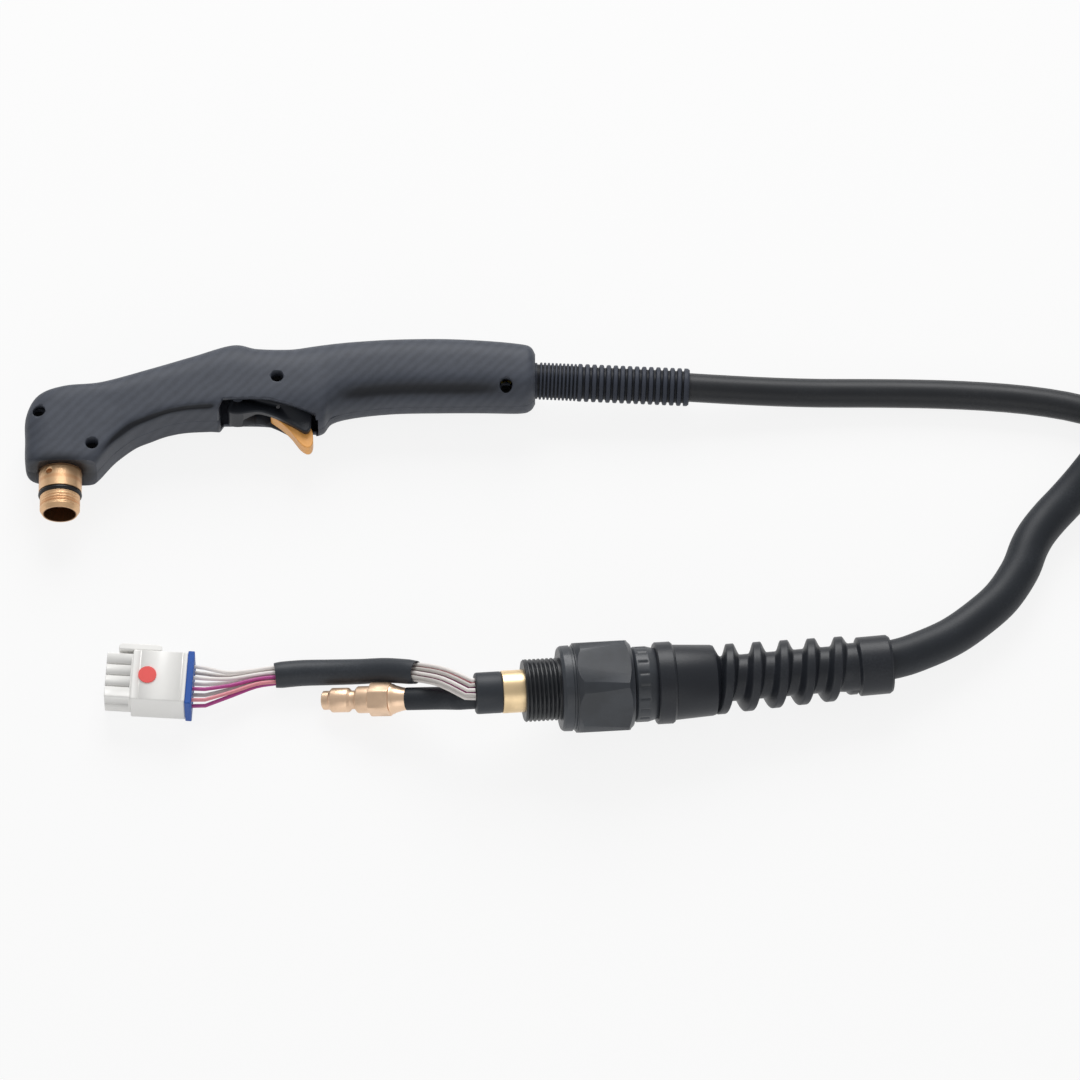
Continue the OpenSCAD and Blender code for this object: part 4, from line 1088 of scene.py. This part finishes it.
def head_seat_piece():
    """Threaded brass seat with its gas and pin holes."""
    places = steps(-3.4, 0.2, 0.6) + steps(0.3, 0.8, 0.1) + steps(1.2, 11.2, 1) + [11.29, 11.31]
    places += [13.89, 13.91] + steps(14.1, 20.8, 0.1) + steps(20.9, 22.9, 0.25)
    place = matrix_on((HEAD_X, HEAD_Y, MID), (0, -1, 0))
    o = relief("head_seat_brass", places, seat_radius, seat_bore, FINISH["brass"], place, 120, 30)
    x, y = HEAD_X - 5.2, HEAD_Y - 3.4
    combine(o, rod(1.5, (x, y, MID + 6), (x, y, MID + 14), 32))
    z = MID - 6.4
    combine(o, rod(1.03, (HEAD_X, HEAD_Y - 24, z), (HEAD_X, HEAD_Y + 6, z), 20))
    finish_mesh(30)
    return o


class TORCH_OT_head(bpy.types.Operator):
    """Turns the threaded brass seat and its ring"""

    bl_idname = "torch.head"
    bl_label = "Head seat"

    def execute(self, context):
        put(head_seat_piece(), "handle", "brass", "head_seat")
        place = matrix_on((HEAD_X, HEAD_Y - 12.6, MID), (0, -1, 0))
        radius, thick, points = 9.7, 1.1, 24
        angles = [2 * math.pi * k / points for k in range(points)]
        section = [(thick * math.sin(a), radius + thick * math.cos(a)) for a in angles]
        ring = turned("seat_ring", section, FINISH["ring"], place, 96)
        put(ring, "handle", "o_ring_rubber", "head_o_ring")
        return {"FINISHED"}


# ---- strain reliefs and gland ------------------------------------------------------------------


FINE_FROM, COARSE_FROM, RIBS_TO = 1.1, 20, 72.4
FINE_PITCH, COARSE_PITCH, RIB_SHARE = 1.89, 3.5, 0.6


def front_boot_radius(x, turn):
    """Ribs of the front boot: fine near the handle and coarse behind, with rounded crests."""
    if x < FINE_FROM:
        return 8.2
    if x >= RIBS_TO:
        return 9.3 - 0.6 * blend_value(x, 74, 75)
    if x < COARSE_FROM:
        phase, crest, valley = ((x - FINE_FROM) / FINE_PITCH) % 1, 9.2, 8.1
    else:
        phase, crest, valley = ((x - COARSE_FROM) / COARSE_PITCH) % 1, 9.35, 7.9
    middle = RIB_SHARE / 2
    s = min(abs(phase - middle), abs(phase - 1 - middle)) / (middle + 0.05)
    return valley + (crest - valley) * (1 - s ** 4) ** 0.5 if s < 1 else valley


def front_boot_piece():
    """Ribbed boot with the flanged neck that the handle holds."""
    places = [-0.5] + steps(0.2, 20, 0.135) + steps(20.1, 72.4, 0.175) + steps(72.5, 75, 0.25)
    o = relief("front_boot_rubber", places, front_boot_radius, lambda x: LEAD_HOLE, FINISH["boot"],
               matrix_on(BOOT_BEND, BOOT_AXIS), 72, 50)
    flange = [(0, 7.6), (0, 10.8), (3.4, 10.8), (3.4, 8.9), (8.1, 8.9), (8.1, 7.6)]
    return join(o, turned("neck", flange, FINISH["boot"], matrix_on(BOOT_IN, (1, 0, 0)), 72))


def join(o, *others):
    """Makes one piece of several that touch."""
    deselect()
    for other in others:
        other.select_set(True)
    o.select_set(True)
    bpy.context.view_layer.objects.active = o
    bpy.ops.object.join()
    return o


BOOT_CORE, CUFF_FROM, CUFF_TO = 11.2, 74.4, 91.4
# The winding rib: place of its first turn and the angle there, pitch, and turns at its two ends
RIB_X, RIB_ANGLE, RIB_PITCH, RIB_FROM, RIB_TO = 13.3, -63, 13.4, -0.72, 4.55


def rear_boot_radius(x, turn):
    """Boot behind the gland: core, left-handed rib that tapers towards the cuff, and cuff."""
    if x > CUFF_FROM:
        cuff = BOOT_CORE + 0.7 + (13.7 - BOOT_CORE) * blend_value(x, CUFF_FROM, 76)
        return cuff - 0.8 * blend_value(x, 90, CUFF_TO)
    base = BOOT_CORE + 0.7 * blend_value(x, 62, 72)
    best = base
    for k in range(-2, 7):
        t = k + ((RIB_ANGLE / 360 + 0.25 - turn) % 1)
        centre = RIB_X + RIB_PITCH * t
        grow = max(0.0, min(1.0, 6 * (t - RIB_FROM), 6 * (RIB_TO - t)))
        crest = 16.9 - 0.33 * t
        rise = 1 - blend_value(abs(x - centre), 1.6, 4.6)
        best = max(best, base + (crest - base) * grow * rise)
    return best


def rear_boot_bore(x):
    """Hole of the boot: tight on the lead, then wide enough for its sleeve."""
    return profile_at([(0, LEAD_HOLE), (62, LEAD_HOLE), (66, 10.4), (CUFF_TO, 12.1)], x)


def rear_boot_piece():
    """Ribbed boot with the smooth shank that the gland's ring clamps."""
    places = steps(0, CUFF_FROM, 0.35) + steps(74.6, CUFF_TO, 0.3)
    o = relief("rear_boot_rubber", places, rear_boot_radius, rear_boot_bore, FINISH["rubber"],
               matrix_on(TAIL_C, TAIL_AXIS), 120, 45)
    hole = LEAD_R + 0.1
    shank = [(25.3, hole), (25.3, 19.4), (25.9, 20), (33, 20), (33.8, 19.4), (34.4, 18.4),
             (53, 17.3), (54.2, 16.9), (56.6, 12.4), (57.4, BOOT_CORE + 0.2), (57.4, hole)]
    return join(o, turned("shank", shank, FINISH["rubber"], matrix_on(GLAND_C, GLAND_AXIS), 96))


def hexagon(radius, low, high, turn, place, material):
    """Hexagonal bar about X between two places; radius to its corners."""
    middle = place @ Matrix.Translation(Vector(((low + high) / 2, 0, 0)) * MM)
    return prism("hexagon", 6, radius, high - low, math.radians(-turn), middle, material)


def nut_piece():
    """Lock nut: chamfered hexagon with a round skirt in front."""
    black, place = FINISH["black"], matrix_on(GLAND_C, GLAND_AXIS)
    across_flats, turn = 43.6, 63
    o = hexagon(across_flats / 2 / math.cos(math.radians(30)), -14.4, 14.8, turn, place, black)
    envelope = [(-16, 0), (-16, 21), (-14.4, 21.8), (-12.2, 23.5), (10, 24.5), (12.2, 21.2),
                (13.3, 20.2), (13.4, 0)]
    combine(o, turned("envelope", envelope, black, place, 120), "INTERSECT")
    skirt = [(-21.8, 0), (-21.8, 19.7), (-21.3, 20.3), (-20.4, 20.8), (-16.6, 20.9), (-16.3, 20.3),
             (-15.3, 20.3), (-15, 21), (-13.9, 21.3), (-13, 20), (-13, 0)]
    combine(o, turned("skirt", skirt, black, place, 120), "UNION")
    hole = [(-25, 0), (-25, 14.8), (8, 14.8), (8, 12), (16, 12), (16, 0)]
    combine(o, turned("hole", hole, black, place, 96))
    soften(o, 0.45, 24)
    rename(o, "lock_nut_black")
    return o


COLLAR_FROM, COLLAR_THREAD_TO, COLLAR_PITCH = -39.4, -22.6, 2.1


def collar_radius(x, turn):
    """Fine thread of the gland's collar."""
    if x > COLLAR_THREAD_TO:
        return 14.75
    cut = thread_cut(x, turn, COLLAR_PITCH, 0.36)
    cut *= blend_value(x, -38.8, -37.8) * (1 - blend_value(x, -23.6, COLLAR_THREAD_TO))
    return 15.25 - 0.75 * cut - 0.6 * (1 - blend_value(x, COLLAR_FROM, -38.7))


def ring_radius(x, turn):
    """Clamp ring behind the nut, with shallow grips round it."""
    r = profile_at([(14, 17.5), (15.1, 18.4), (21, 18.4), (24.6, 17.4), (25.3, 17.1)], x)
    grips = 18
    grip = max(0.0, math.cos(2 * math.pi * grips * turn)) ** 6
    return r - 0.5 * grip * blend_value(x, 15.4, 16.4) * (1 - blend_value(x, 20.4, 21.2))


class TORCH_OT_gland(bpy.types.Operator):
    """Makes the boots, the gland's nut, collar and tube"""

    bl_idname = "torch.gland"
    bl_label = "Gland"

    def execute(self, context):
        f = FINISH
        place = matrix_on(GLAND_C, GLAND_AXIS)
        put(front_boot_piece(), "handle", "black_rubber", "front_boot")
        put(rear_boot_piece(), "handle", "black_rubber", "rear_boot")
        put(nut_piece(), "lock_nut", "black_plastic", "lock_nut")
        places = steps(COLLAR_FROM, COLLAR_THREAD_TO, 0.15) + [-22.5, 5]
        collar = relief("collar_thread", places, collar_radius, lambda x: 10.4, f["collar"], place,
                        96, 30)
        put(collar, "handle", "black_plastic", "gland_collar")
        ring = relief("boot_clamp", steps(14, 25.3, 0.3), ring_radius, lambda x: 9.6, f["black"],
                      place, 144, 30)
        put(ring, "handle", "black_plastic", "boot_ring")
        wall = [(-50, 8.8), (-50, 10.1), (-49.7, 10.4), (5, 10.4), (5, 8.8)]
        brass = turned("entry_tube_brass", wall, f["gland_brass"], place, 96)
        put(brass, "handle", "brass", "entry_tube")
        outline = [(-63, 0), (-63, 9.3), (-62.6, 9.9), (-61.8, 10.15), (-51, 10.15), (-50.3, 10.0),
                   (-50, 9.7), (-50, 0)]
        shrink = turned("bundle_shrink", outline, f["shrink"], place, 72)
        put(shrink, "handle", "black_rubber", "bundle_sleeve")
        return {"FINISHED"}


# ---- straps and sleeve of the lead --------------------------------------------------------------


def strap_loop(low_x, high_x, low, high, radius, count=8):
    """Closed outline of a strap round the coil's section, seen along the strap's width."""
    left, right = low_x + radius, high_x - radius
    under, over = low + radius, high - radius
    out = []
    for cx, cz, start in ((right, over, 0), (left, over, 90), (left, under, 180),
                          (right, under, 270)):
        for k in range(count + 1):
            a = math.radians(start + 90 * k / count)
            out.append((cx + radius * math.cos(a), cz + radius * math.sin(a)))
    return out


def strap_piece(angle):
    """Woven strap with a stitched edge round the coil, at an angle about its middle."""
    a = math.radians(angle)
    outward = Vector((math.cos(a), math.sin(a), 0))
    side = Vector((-math.sin(a), math.cos(a), 0))
    half = COIL_TOTAL / 2
    turns = [(angle - COIL_FROM) / 360 + k for k in range(-1, 11)]
    reach = max(COIL_IN + COIL_PITCH * abs(t - half) for t in turns if 0 <= t <= COIL_TOTAL)
    top = COIL_Z + LAYER_H + LEAD_R
    loops = []
    for gap, low, radius in ((0.3, STRAP_THICK, 7), (1.5, 0, 8.2)):
        loops.append(strap_loop(
            COIL_IN - LEAD_R - gap, reach + LEAD_R + gap, low, top + gap, radius))
    inner, outer = loops
    n = len(inner)
    across = [(-8, 0.35), (-7.6, 0), (-6.8, 0.18), (6.8, 0.18), (7.6, 0), (8, 0.35)]
    verts, faces = [], []
    for w, dip in across:
        for (ix, iz), (ox, oz) in zip(inner, outer):
            p = Vector((ox, oz)).lerp(Vector((ix, iz)), dip / STRAP_THICK)
            verts.append(COIL_C + outward * p.x + side * w + Vector((0, 0, p.y)))
    for w, _ in (across[0], across[-1]):
        for ix, iz in inner:
            verts.append(COIL_C + outward * ix + side * w + Vector((0, 0, iz)))
    rows = len(across)
    first, last = rows * n, (rows + 1) * n
    for k in range(n):
        q = (k + 1) % n
        for r in range(rows - 1):
            faces.append((r * n + k, r * n + q, (r + 1) * n + q, (r + 1) * n + k))
        faces.append((first + k, first + q, q, k))
        faces.append(((rows - 1) * n + k, (rows - 1) * n + q, last + q, last + k))
        faces.append((first + q, first + k, last + k, last + q))
    o = mesh_piece("strap", verts, faces, FINISH["strap"], None, 40)
    recalc(o)
    return o


class TORCH_OT_lead_parts(bpy.types.Operator):
    """Adds the rubber sleeve of the machine end and the straps of the coil"""

    bl_idname = "torch.lead_parts"
    bl_label = "Lead sleeve and straps"

    def execute(self, context):
        path = smooth(MACHINE_ROUTE[5:len(FREE_ROUTE) + 1], 6)
        radii = [8.6, 9.3] + [9.6] * (len(path) - 2)
        sleeve = tube("lead_sleeve_rubber", path, radii, LEAD_HOLE, FINISH["sleeve"], 40)
        put(sleeve, "handle", "black_rubber", "lead_sleeve")
        straps = [strap_piece(a) for a in (60, 180, 300)]
        straps[0].name = "coil_straps"
        put(join(straps[0], *straps[1:]), "handle", "strap_fabric", "lead_ties")
        return {"FINISHED"}


# ---- plugs --------------------------------------------------------------------------------------


# Length of the gas plug with its barb
BARB_END = 43


class TORCH_OT_gas_plug(bpy.types.Operator):
    """Turns the gas plug and its barb, and draws the hose"""

    bl_idname = "torch.gas_plug"
    bl_label = "Gas plug"

    def execute(self, context):
        brass, place = FINISH["plug_brass"], matrix_on(PLUG_TIP, PLUG_AXIS)
        o = hexagon(8.5, 24.6, 35, 90, place, brass)
        chamfer = [(24, 0), (24, 7.5), (25, 8.25), (34.6, 8.25), (35.6, 7.5), (35.6, 0)]
        combine(o, turned("chamfer", chamfer, brass, place, 72), "INTERSECT")
        nose = [(0, 0), (0, 3.7), (0.15, 4.1), (0.6, 4.65), (3.6, 4.65), (4.8, 5.8), (5.1, 6),
                (12.9, 6), (13.5, 5.8), (14.6, 4.7), (15, 4.55), (17.2, 4.6), (17.5, 5.8),
                (17.9, 6.3), (18.4, 6.6), (24.2, 6.6), (24.7, 6.2), (24.7, 0)]
        combine(o, turned("nose", nose, brass, place, 96), "UNION")
        bore = [(-1, 0), (-1, 2.6), (40, 2.6), (40, 0)]
        combine(o, turned("bore", bore, brass, place, 48))
        soften(o, 0.2, 30, 2)
        rename(o, "gas_plug_brass")
        put(o, "handle", "brass", "gas_plug")
        barb = [(35, 2.6), (35, 7.2), (35.3, 7.55), (36.3, 7.3), (36.8, 6.9), (41, 5.7),
                (BARB_END, 5.4), (BARB_END, 2.6)]
        put(turned("hose_barb_brass", barb, brass, place, 72), "handle", "brass", "hose_barb")
        start = PLUG_TIP + BARB_END * PLUG_AXIS
        bend = [start + 5 * PLUG_AXIS, (start + HOSE_END) / 2, HOSE_END - 8 * GLAND_LINE]
        path = [start, *smooth(bend, 6), HOSE_END]
        hose = tube("gas_hose_rubber", path, [5.6] * len(path), 3, FINISH["sleeve"], 32)
        put(hose, "handle", "black_rubber", "gas_hose")
        return {"FINISHED"}


def housing_place():
    """Place of the control plug, its middle at the origin and its sockets towards -X."""
    return Matrix.Translation(HOUSING_C * MM) @ Matrix.Rotation(HOUSING_TURN, 4, "Z")


def bar(x0, x1, width, thick, material, bevel=0.5):
    """Block centred on the plug's axis, with rounded edges, in the plug's own frame."""
    outline = rectangle(x0, x1, -width / 2, width / 2)
    return extruded("bar", outline, -thick / 2, thick / 2, material, bevel)


def rectangle(x0, x1, y0, y1):
    """Outline of a rectangle."""
    return [(x0, y0), (x1, y0), (x1, y1), (x0, y1)]


def cut_poles(o, hole, material, sides):
    """Cuts a turned hole at each pole of the plug, in the plug's own frame."""
    for y in POLE_COLUMNS:
        for z in POLE_ROWS:
            place = Matrix.Translation(Vector((0, y, z)) * MM)
            combine(o, turned("hole", hole, material, place, sides))


def settle(o, name):
    """Moves a finished piece from the plug's own frame to its place."""
    o.data.transform(housing_place())
    finish_mesh(30)
    rename(o, name)


class TORCH_OT_control_plug(bpy.types.Operator):
    """Moulds the control plug with its sockets, slots, latch rib and seal"""

    bl_idname = "torch.control_plug"
    bl_label = "Control plug"

    def execute(self, context):
        white, blue = FINISH["white"], FINISH["seal"]
        back = 39.5 / 2
        front = -back
        o = bar(front, 13 - back, 24, 16.6, white, 0.6)
        combine(o, bar(12.8 - back, back, 27, 20, white, 0.8), "UNION")
        for y in (-6, 0, 6):
            slot = rectangle(front - 1, 12 - back, y - 0.5, y + 0.5)
            combine(o, extruded("slot", slot, -12, 12, white))
        slot = rectangle(front - 1, 11.5 - back, -13, 13)
        combine(o, extruded("slot", slot, -0.5, 0.5, white))
        socket = [(front - 1, 0), (front - 1, 2.6), (front + 0.6, 2.2), (front + 15, 2.2),
                  (front + 15, 0)]
        cut_poles(o, socket, white, 32)
        for x in (-3.4, 17):
            combine(o, extruded("line", rectangle(x, x + 0.5, -14, 14), 9.7, 10.4, white))
        settle(o, "plug_body")
        put(o, "handle", "white_plastic", "plug_housing")
        rib = [(-14.2, 13.5), (6.8, 13.5), (6.8, 16.2), (5.4, 16.9), (-12.6, 16.9), (-14.2, 15.6)]
        key = extruded("plug_rib", rib, -5, 9.6, white, 0.5)
        key.data.transform(housing_place())
        put(key, "handle", "white_plastic", "plug_key")
        seal = bar(back, back + 3.2, 28.6, 20, blue)
        hole = [(back - 1, 0), (back - 1, WIRE_HOLE), (back + 5, WIRE_HOLE), (back + 5, 0)]
        cut_poles(seal, hole, blue, 20)
        settle(seal, "plug_seal_rubber")
        put(seal, "handle", "seal_rubber", "plug_seal")
        path = smooth(SLEEVE_ROUTE, 6)
        n = len(path)
        ends = [1 - blend_value(min(i, n - 1 - i), 0, 2) for i in range(n)]
        radii = [6.5 - 0.4 * end - 0.5 * i / n for i, end in enumerate(ends)]
        sleeve = tube("wire_sleeve_shrink", path, radii, 5.2, FINISH["shrink"], 32)
        put(sleeve, "handle", "black_rubber", "wire_sleeve")
        return {"FINISHED"}


# ---- cords ----------------------------------------------------------------------------------


class TORCH_OT_lead(bpy.types.Operator):
    """Lays the lead from the handle through its coil to the gland"""

    bl_idname = "torch.lead"
    bl_label = "Lead"

    def execute(self, context):
        sizes = context.scene.torch_sizes
        first = [Vector(p) for p in TORCH_ROUTE[:3]] + smooth(TORCH_ROUTE[3:], 2)
        coil = coil_route(sizes.coil_steps)
        points = first + coil + smooth(MACHINE_ROUTE[:-5], 2) + MACHINE_ROUTE[-5:]
        lead = line_piece("lead", points, sizes.lead_radius / MM, FINISH["jacket"], 20)
        put(lead, "handle", "lead_jacket", "lead_torch_run", "lead_coil", "lead_machine_run")
        round(length_of(points) * MM, 2)
        return {"FINISHED"}


# Nodes of the wires, each with its finish and the poles, by column and row, that they start from
WIRE_GROUPS = {
    "wires_white": ("wire_white", [(3, 1), (2, 1), (2, 0)]),
    "wires_grey": ("wire_grey", [(3, 0), (1, 0)]),
    "wires_violet": ("wire_violet", [(1, 1), (0, 0)]),
    "wire_pink": ("wire_pink", [(0, 1)]),
}


class TORCH_OT_wires(bpy.types.Operator):
    """Runs the eight control wires from the plug to the gland"""

    bl_idname = "torch.wires"
    bl_label = "Control wires"

    def execute(self, context):
        for node, (finish, places) in WIRE_GROUPS.items():
            for n, (column, row) in enumerate(places):
                points = wire_points(column, row)
                dense = points[:2] + smooth(points[2:-1], 3) + points[-1:]
                wire = line_piece(f"{node}_{n + 1}", dense, WIRE_R, FINISH[finish], 12)
                put(wire, "handle", finish, node)
                tuple(dense[-1] * MM)
                round(length_of(dense) * MM, 3)
        return {"FINISHED"}


# ---- finishes of the frame's nodes ------------------------------------------------------------


class TORCH_OT_finishes(bpy.types.Operator):
    """Paints every node of the frame"""

    bl_idname = "torch.finishes"
    bl_label = "Finishes"

    def execute(self, context):
        make_finishes()
        for node, finish in NODE_FINISH.items():
            coat(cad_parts[node], FINISH[finish])
        return {"FINISHED"}


# ---- stage ----------------------------------------------------------------------------------

# Name, place, width and power of each soft light, and the point they face
LIGHTS = (("Top light", (0.1, 1.7, 1.35), 1.4, 40), ("Front light", (0.1, -1.6, 0.6), 1.2, 5))
LIT_POINT = Vector((0.127, -0.06, 0.0))
# Point that the camera looks at, and the angle at which it looks down, in degrees
VIEW_POINT = Vector((0.1274, -0.0608, 0.0165))
VIEW_LIFT = 63
# Share of the floor's own glow, where the camera or a reflection sees it
FLOOR_GLOW = 0.86
WORLD_STRENGTH = 0.4


class TORCH_OT_stage(bpy.types.Operator):
    """Sets the floor, the soft lights and the camera"""

    bl_idname = "torch.stage"
    bl_label = "Stage"

    def execute(self, context):
        sizes = context.scene.stage_sizes
        deselect()
        bpy.ops.mesh.primitive_plane_add(size=30, location=(0, 0, -0.0002))
        floor = Paint("Floor", tuple(sizes.floor_color), 0.9, specular=0.1)
        camera_ray = floor.node("ShaderNodeLightPath", out="Is Camera Ray")
        glossy_ray = floor.node("ShaderNodeLightPath", out="Is Glossy Ray")
        through_ray = floor.node("ShaderNodeLightPath", out="Is Transmission Ray")
        glow = floor.node("ShaderNodeEmission", None, {"Color": (1, 1, 1, 1), "Strength": 1.0})
        share = (camera_ray + glossy_ray + through_ray).at_most(1.0) * FLOOR_GLOW
        both = floor.node("ShaderNodeMixShader", None, [share, floor.shader.outputs[0], glow])
        floor.feed(floor.tree.nodes["Material Output"].inputs["Surface"], both)
        take("floor", floor)

        world = bpy.data.worlds.new("Studio")
        context.scene.world = world
        world.use_nodes = True
        back = world.node_tree.nodes["Background"]
        back.inputs["Color"].default_value = (1.0, 1.0, 1.0, 1.0)
        back.inputs["Strength"].default_value = WORLD_STRENGTH

        for name, place, size, power in LIGHTS:
            light = bpy.data.lights.new(name, "AREA")
            light.shape = "SQUARE"
            light.size = size
            light.energy = power
            o = bpy.data.objects.new(name, light)
            o.location = place
            o.rotation_euler = (LIT_POINT - Vector(place)).to_track_quat("-Z", "Y").to_euler()
            context.collection.objects.link(o)

        cam = bpy.data.cameras.new("Camera")
        cam.lens = sizes.lens
        cam.clip_end = 100
        o = bpy.data.objects.new("Camera", cam)
        lift = math.radians(VIEW_LIFT)
        away = Vector((0, -math.cos(lift), math.sin(lift)))
        o.location = VIEW_POINT + sizes.distance * away
        o.rotation_euler = (-away).to_track_quat("-Z", "Y").to_euler()
        context.collection.objects.link(o)
        context.scene.camera = o
        context.scene.view_settings.view_transform = "Standard"
        return {"FINISHED"}


# ---- panel and registration -----------------------------------------------------------------


class TORCH_PT_panel(bpy.types.Panel):
    """Lists the torch's operators"""

    bl_label = "Torch"
    bl_idname = "TORCH_PT_panel"
    bl_space_type = "VIEW_3D"
    bl_region_type = "UI"
    bl_category = "Torch"

    def draw(self, context):
        for name in ORDER:
            self.layout.operator(name)


# Each cord comes after the pieces that go with it
ORDER = [
    "torch.stage", "torch.finishes", "torch.gland", "torch.lead_parts", "torch.gas_plug",
    "torch.lead", "torch.control_plug", "torch.wires", "torch.head", "torch.trigger",
    "torch.handle",
]
CLASSES = (
    TorchSizes, StageSizes, TORCH_OT_stage, TORCH_OT_finishes, TORCH_OT_gland, TORCH_OT_lead_parts,
    TORCH_OT_gas_plug, TORCH_OT_lead, TORCH_OT_control_plug, TORCH_OT_wires, TORCH_OT_head,
    TORCH_OT_trigger, TORCH_OT_handle, TORCH_PT_panel,
)


def register():
    for c in CLASSES:
        bpy.utils.register_class(c)
    bpy.types.Scene.torch_sizes = PointerProperty(type=TorchSizes)
    bpy.types.Scene.stage_sizes = PointerProperty(type=StageSizes)


def unregister():
    del bpy.types.Scene.stage_sizes
    del bpy.types.Scene.torch_sizes
    for c in reversed(CLASSES):
        bpy.utils.unregister_class(c)


def main():
    register()
    for name in ORDER:
        group, call = name.split(".")
        getattr(getattr(bpy.ops, group), call)()


if __name__ == "__main__":
    main()
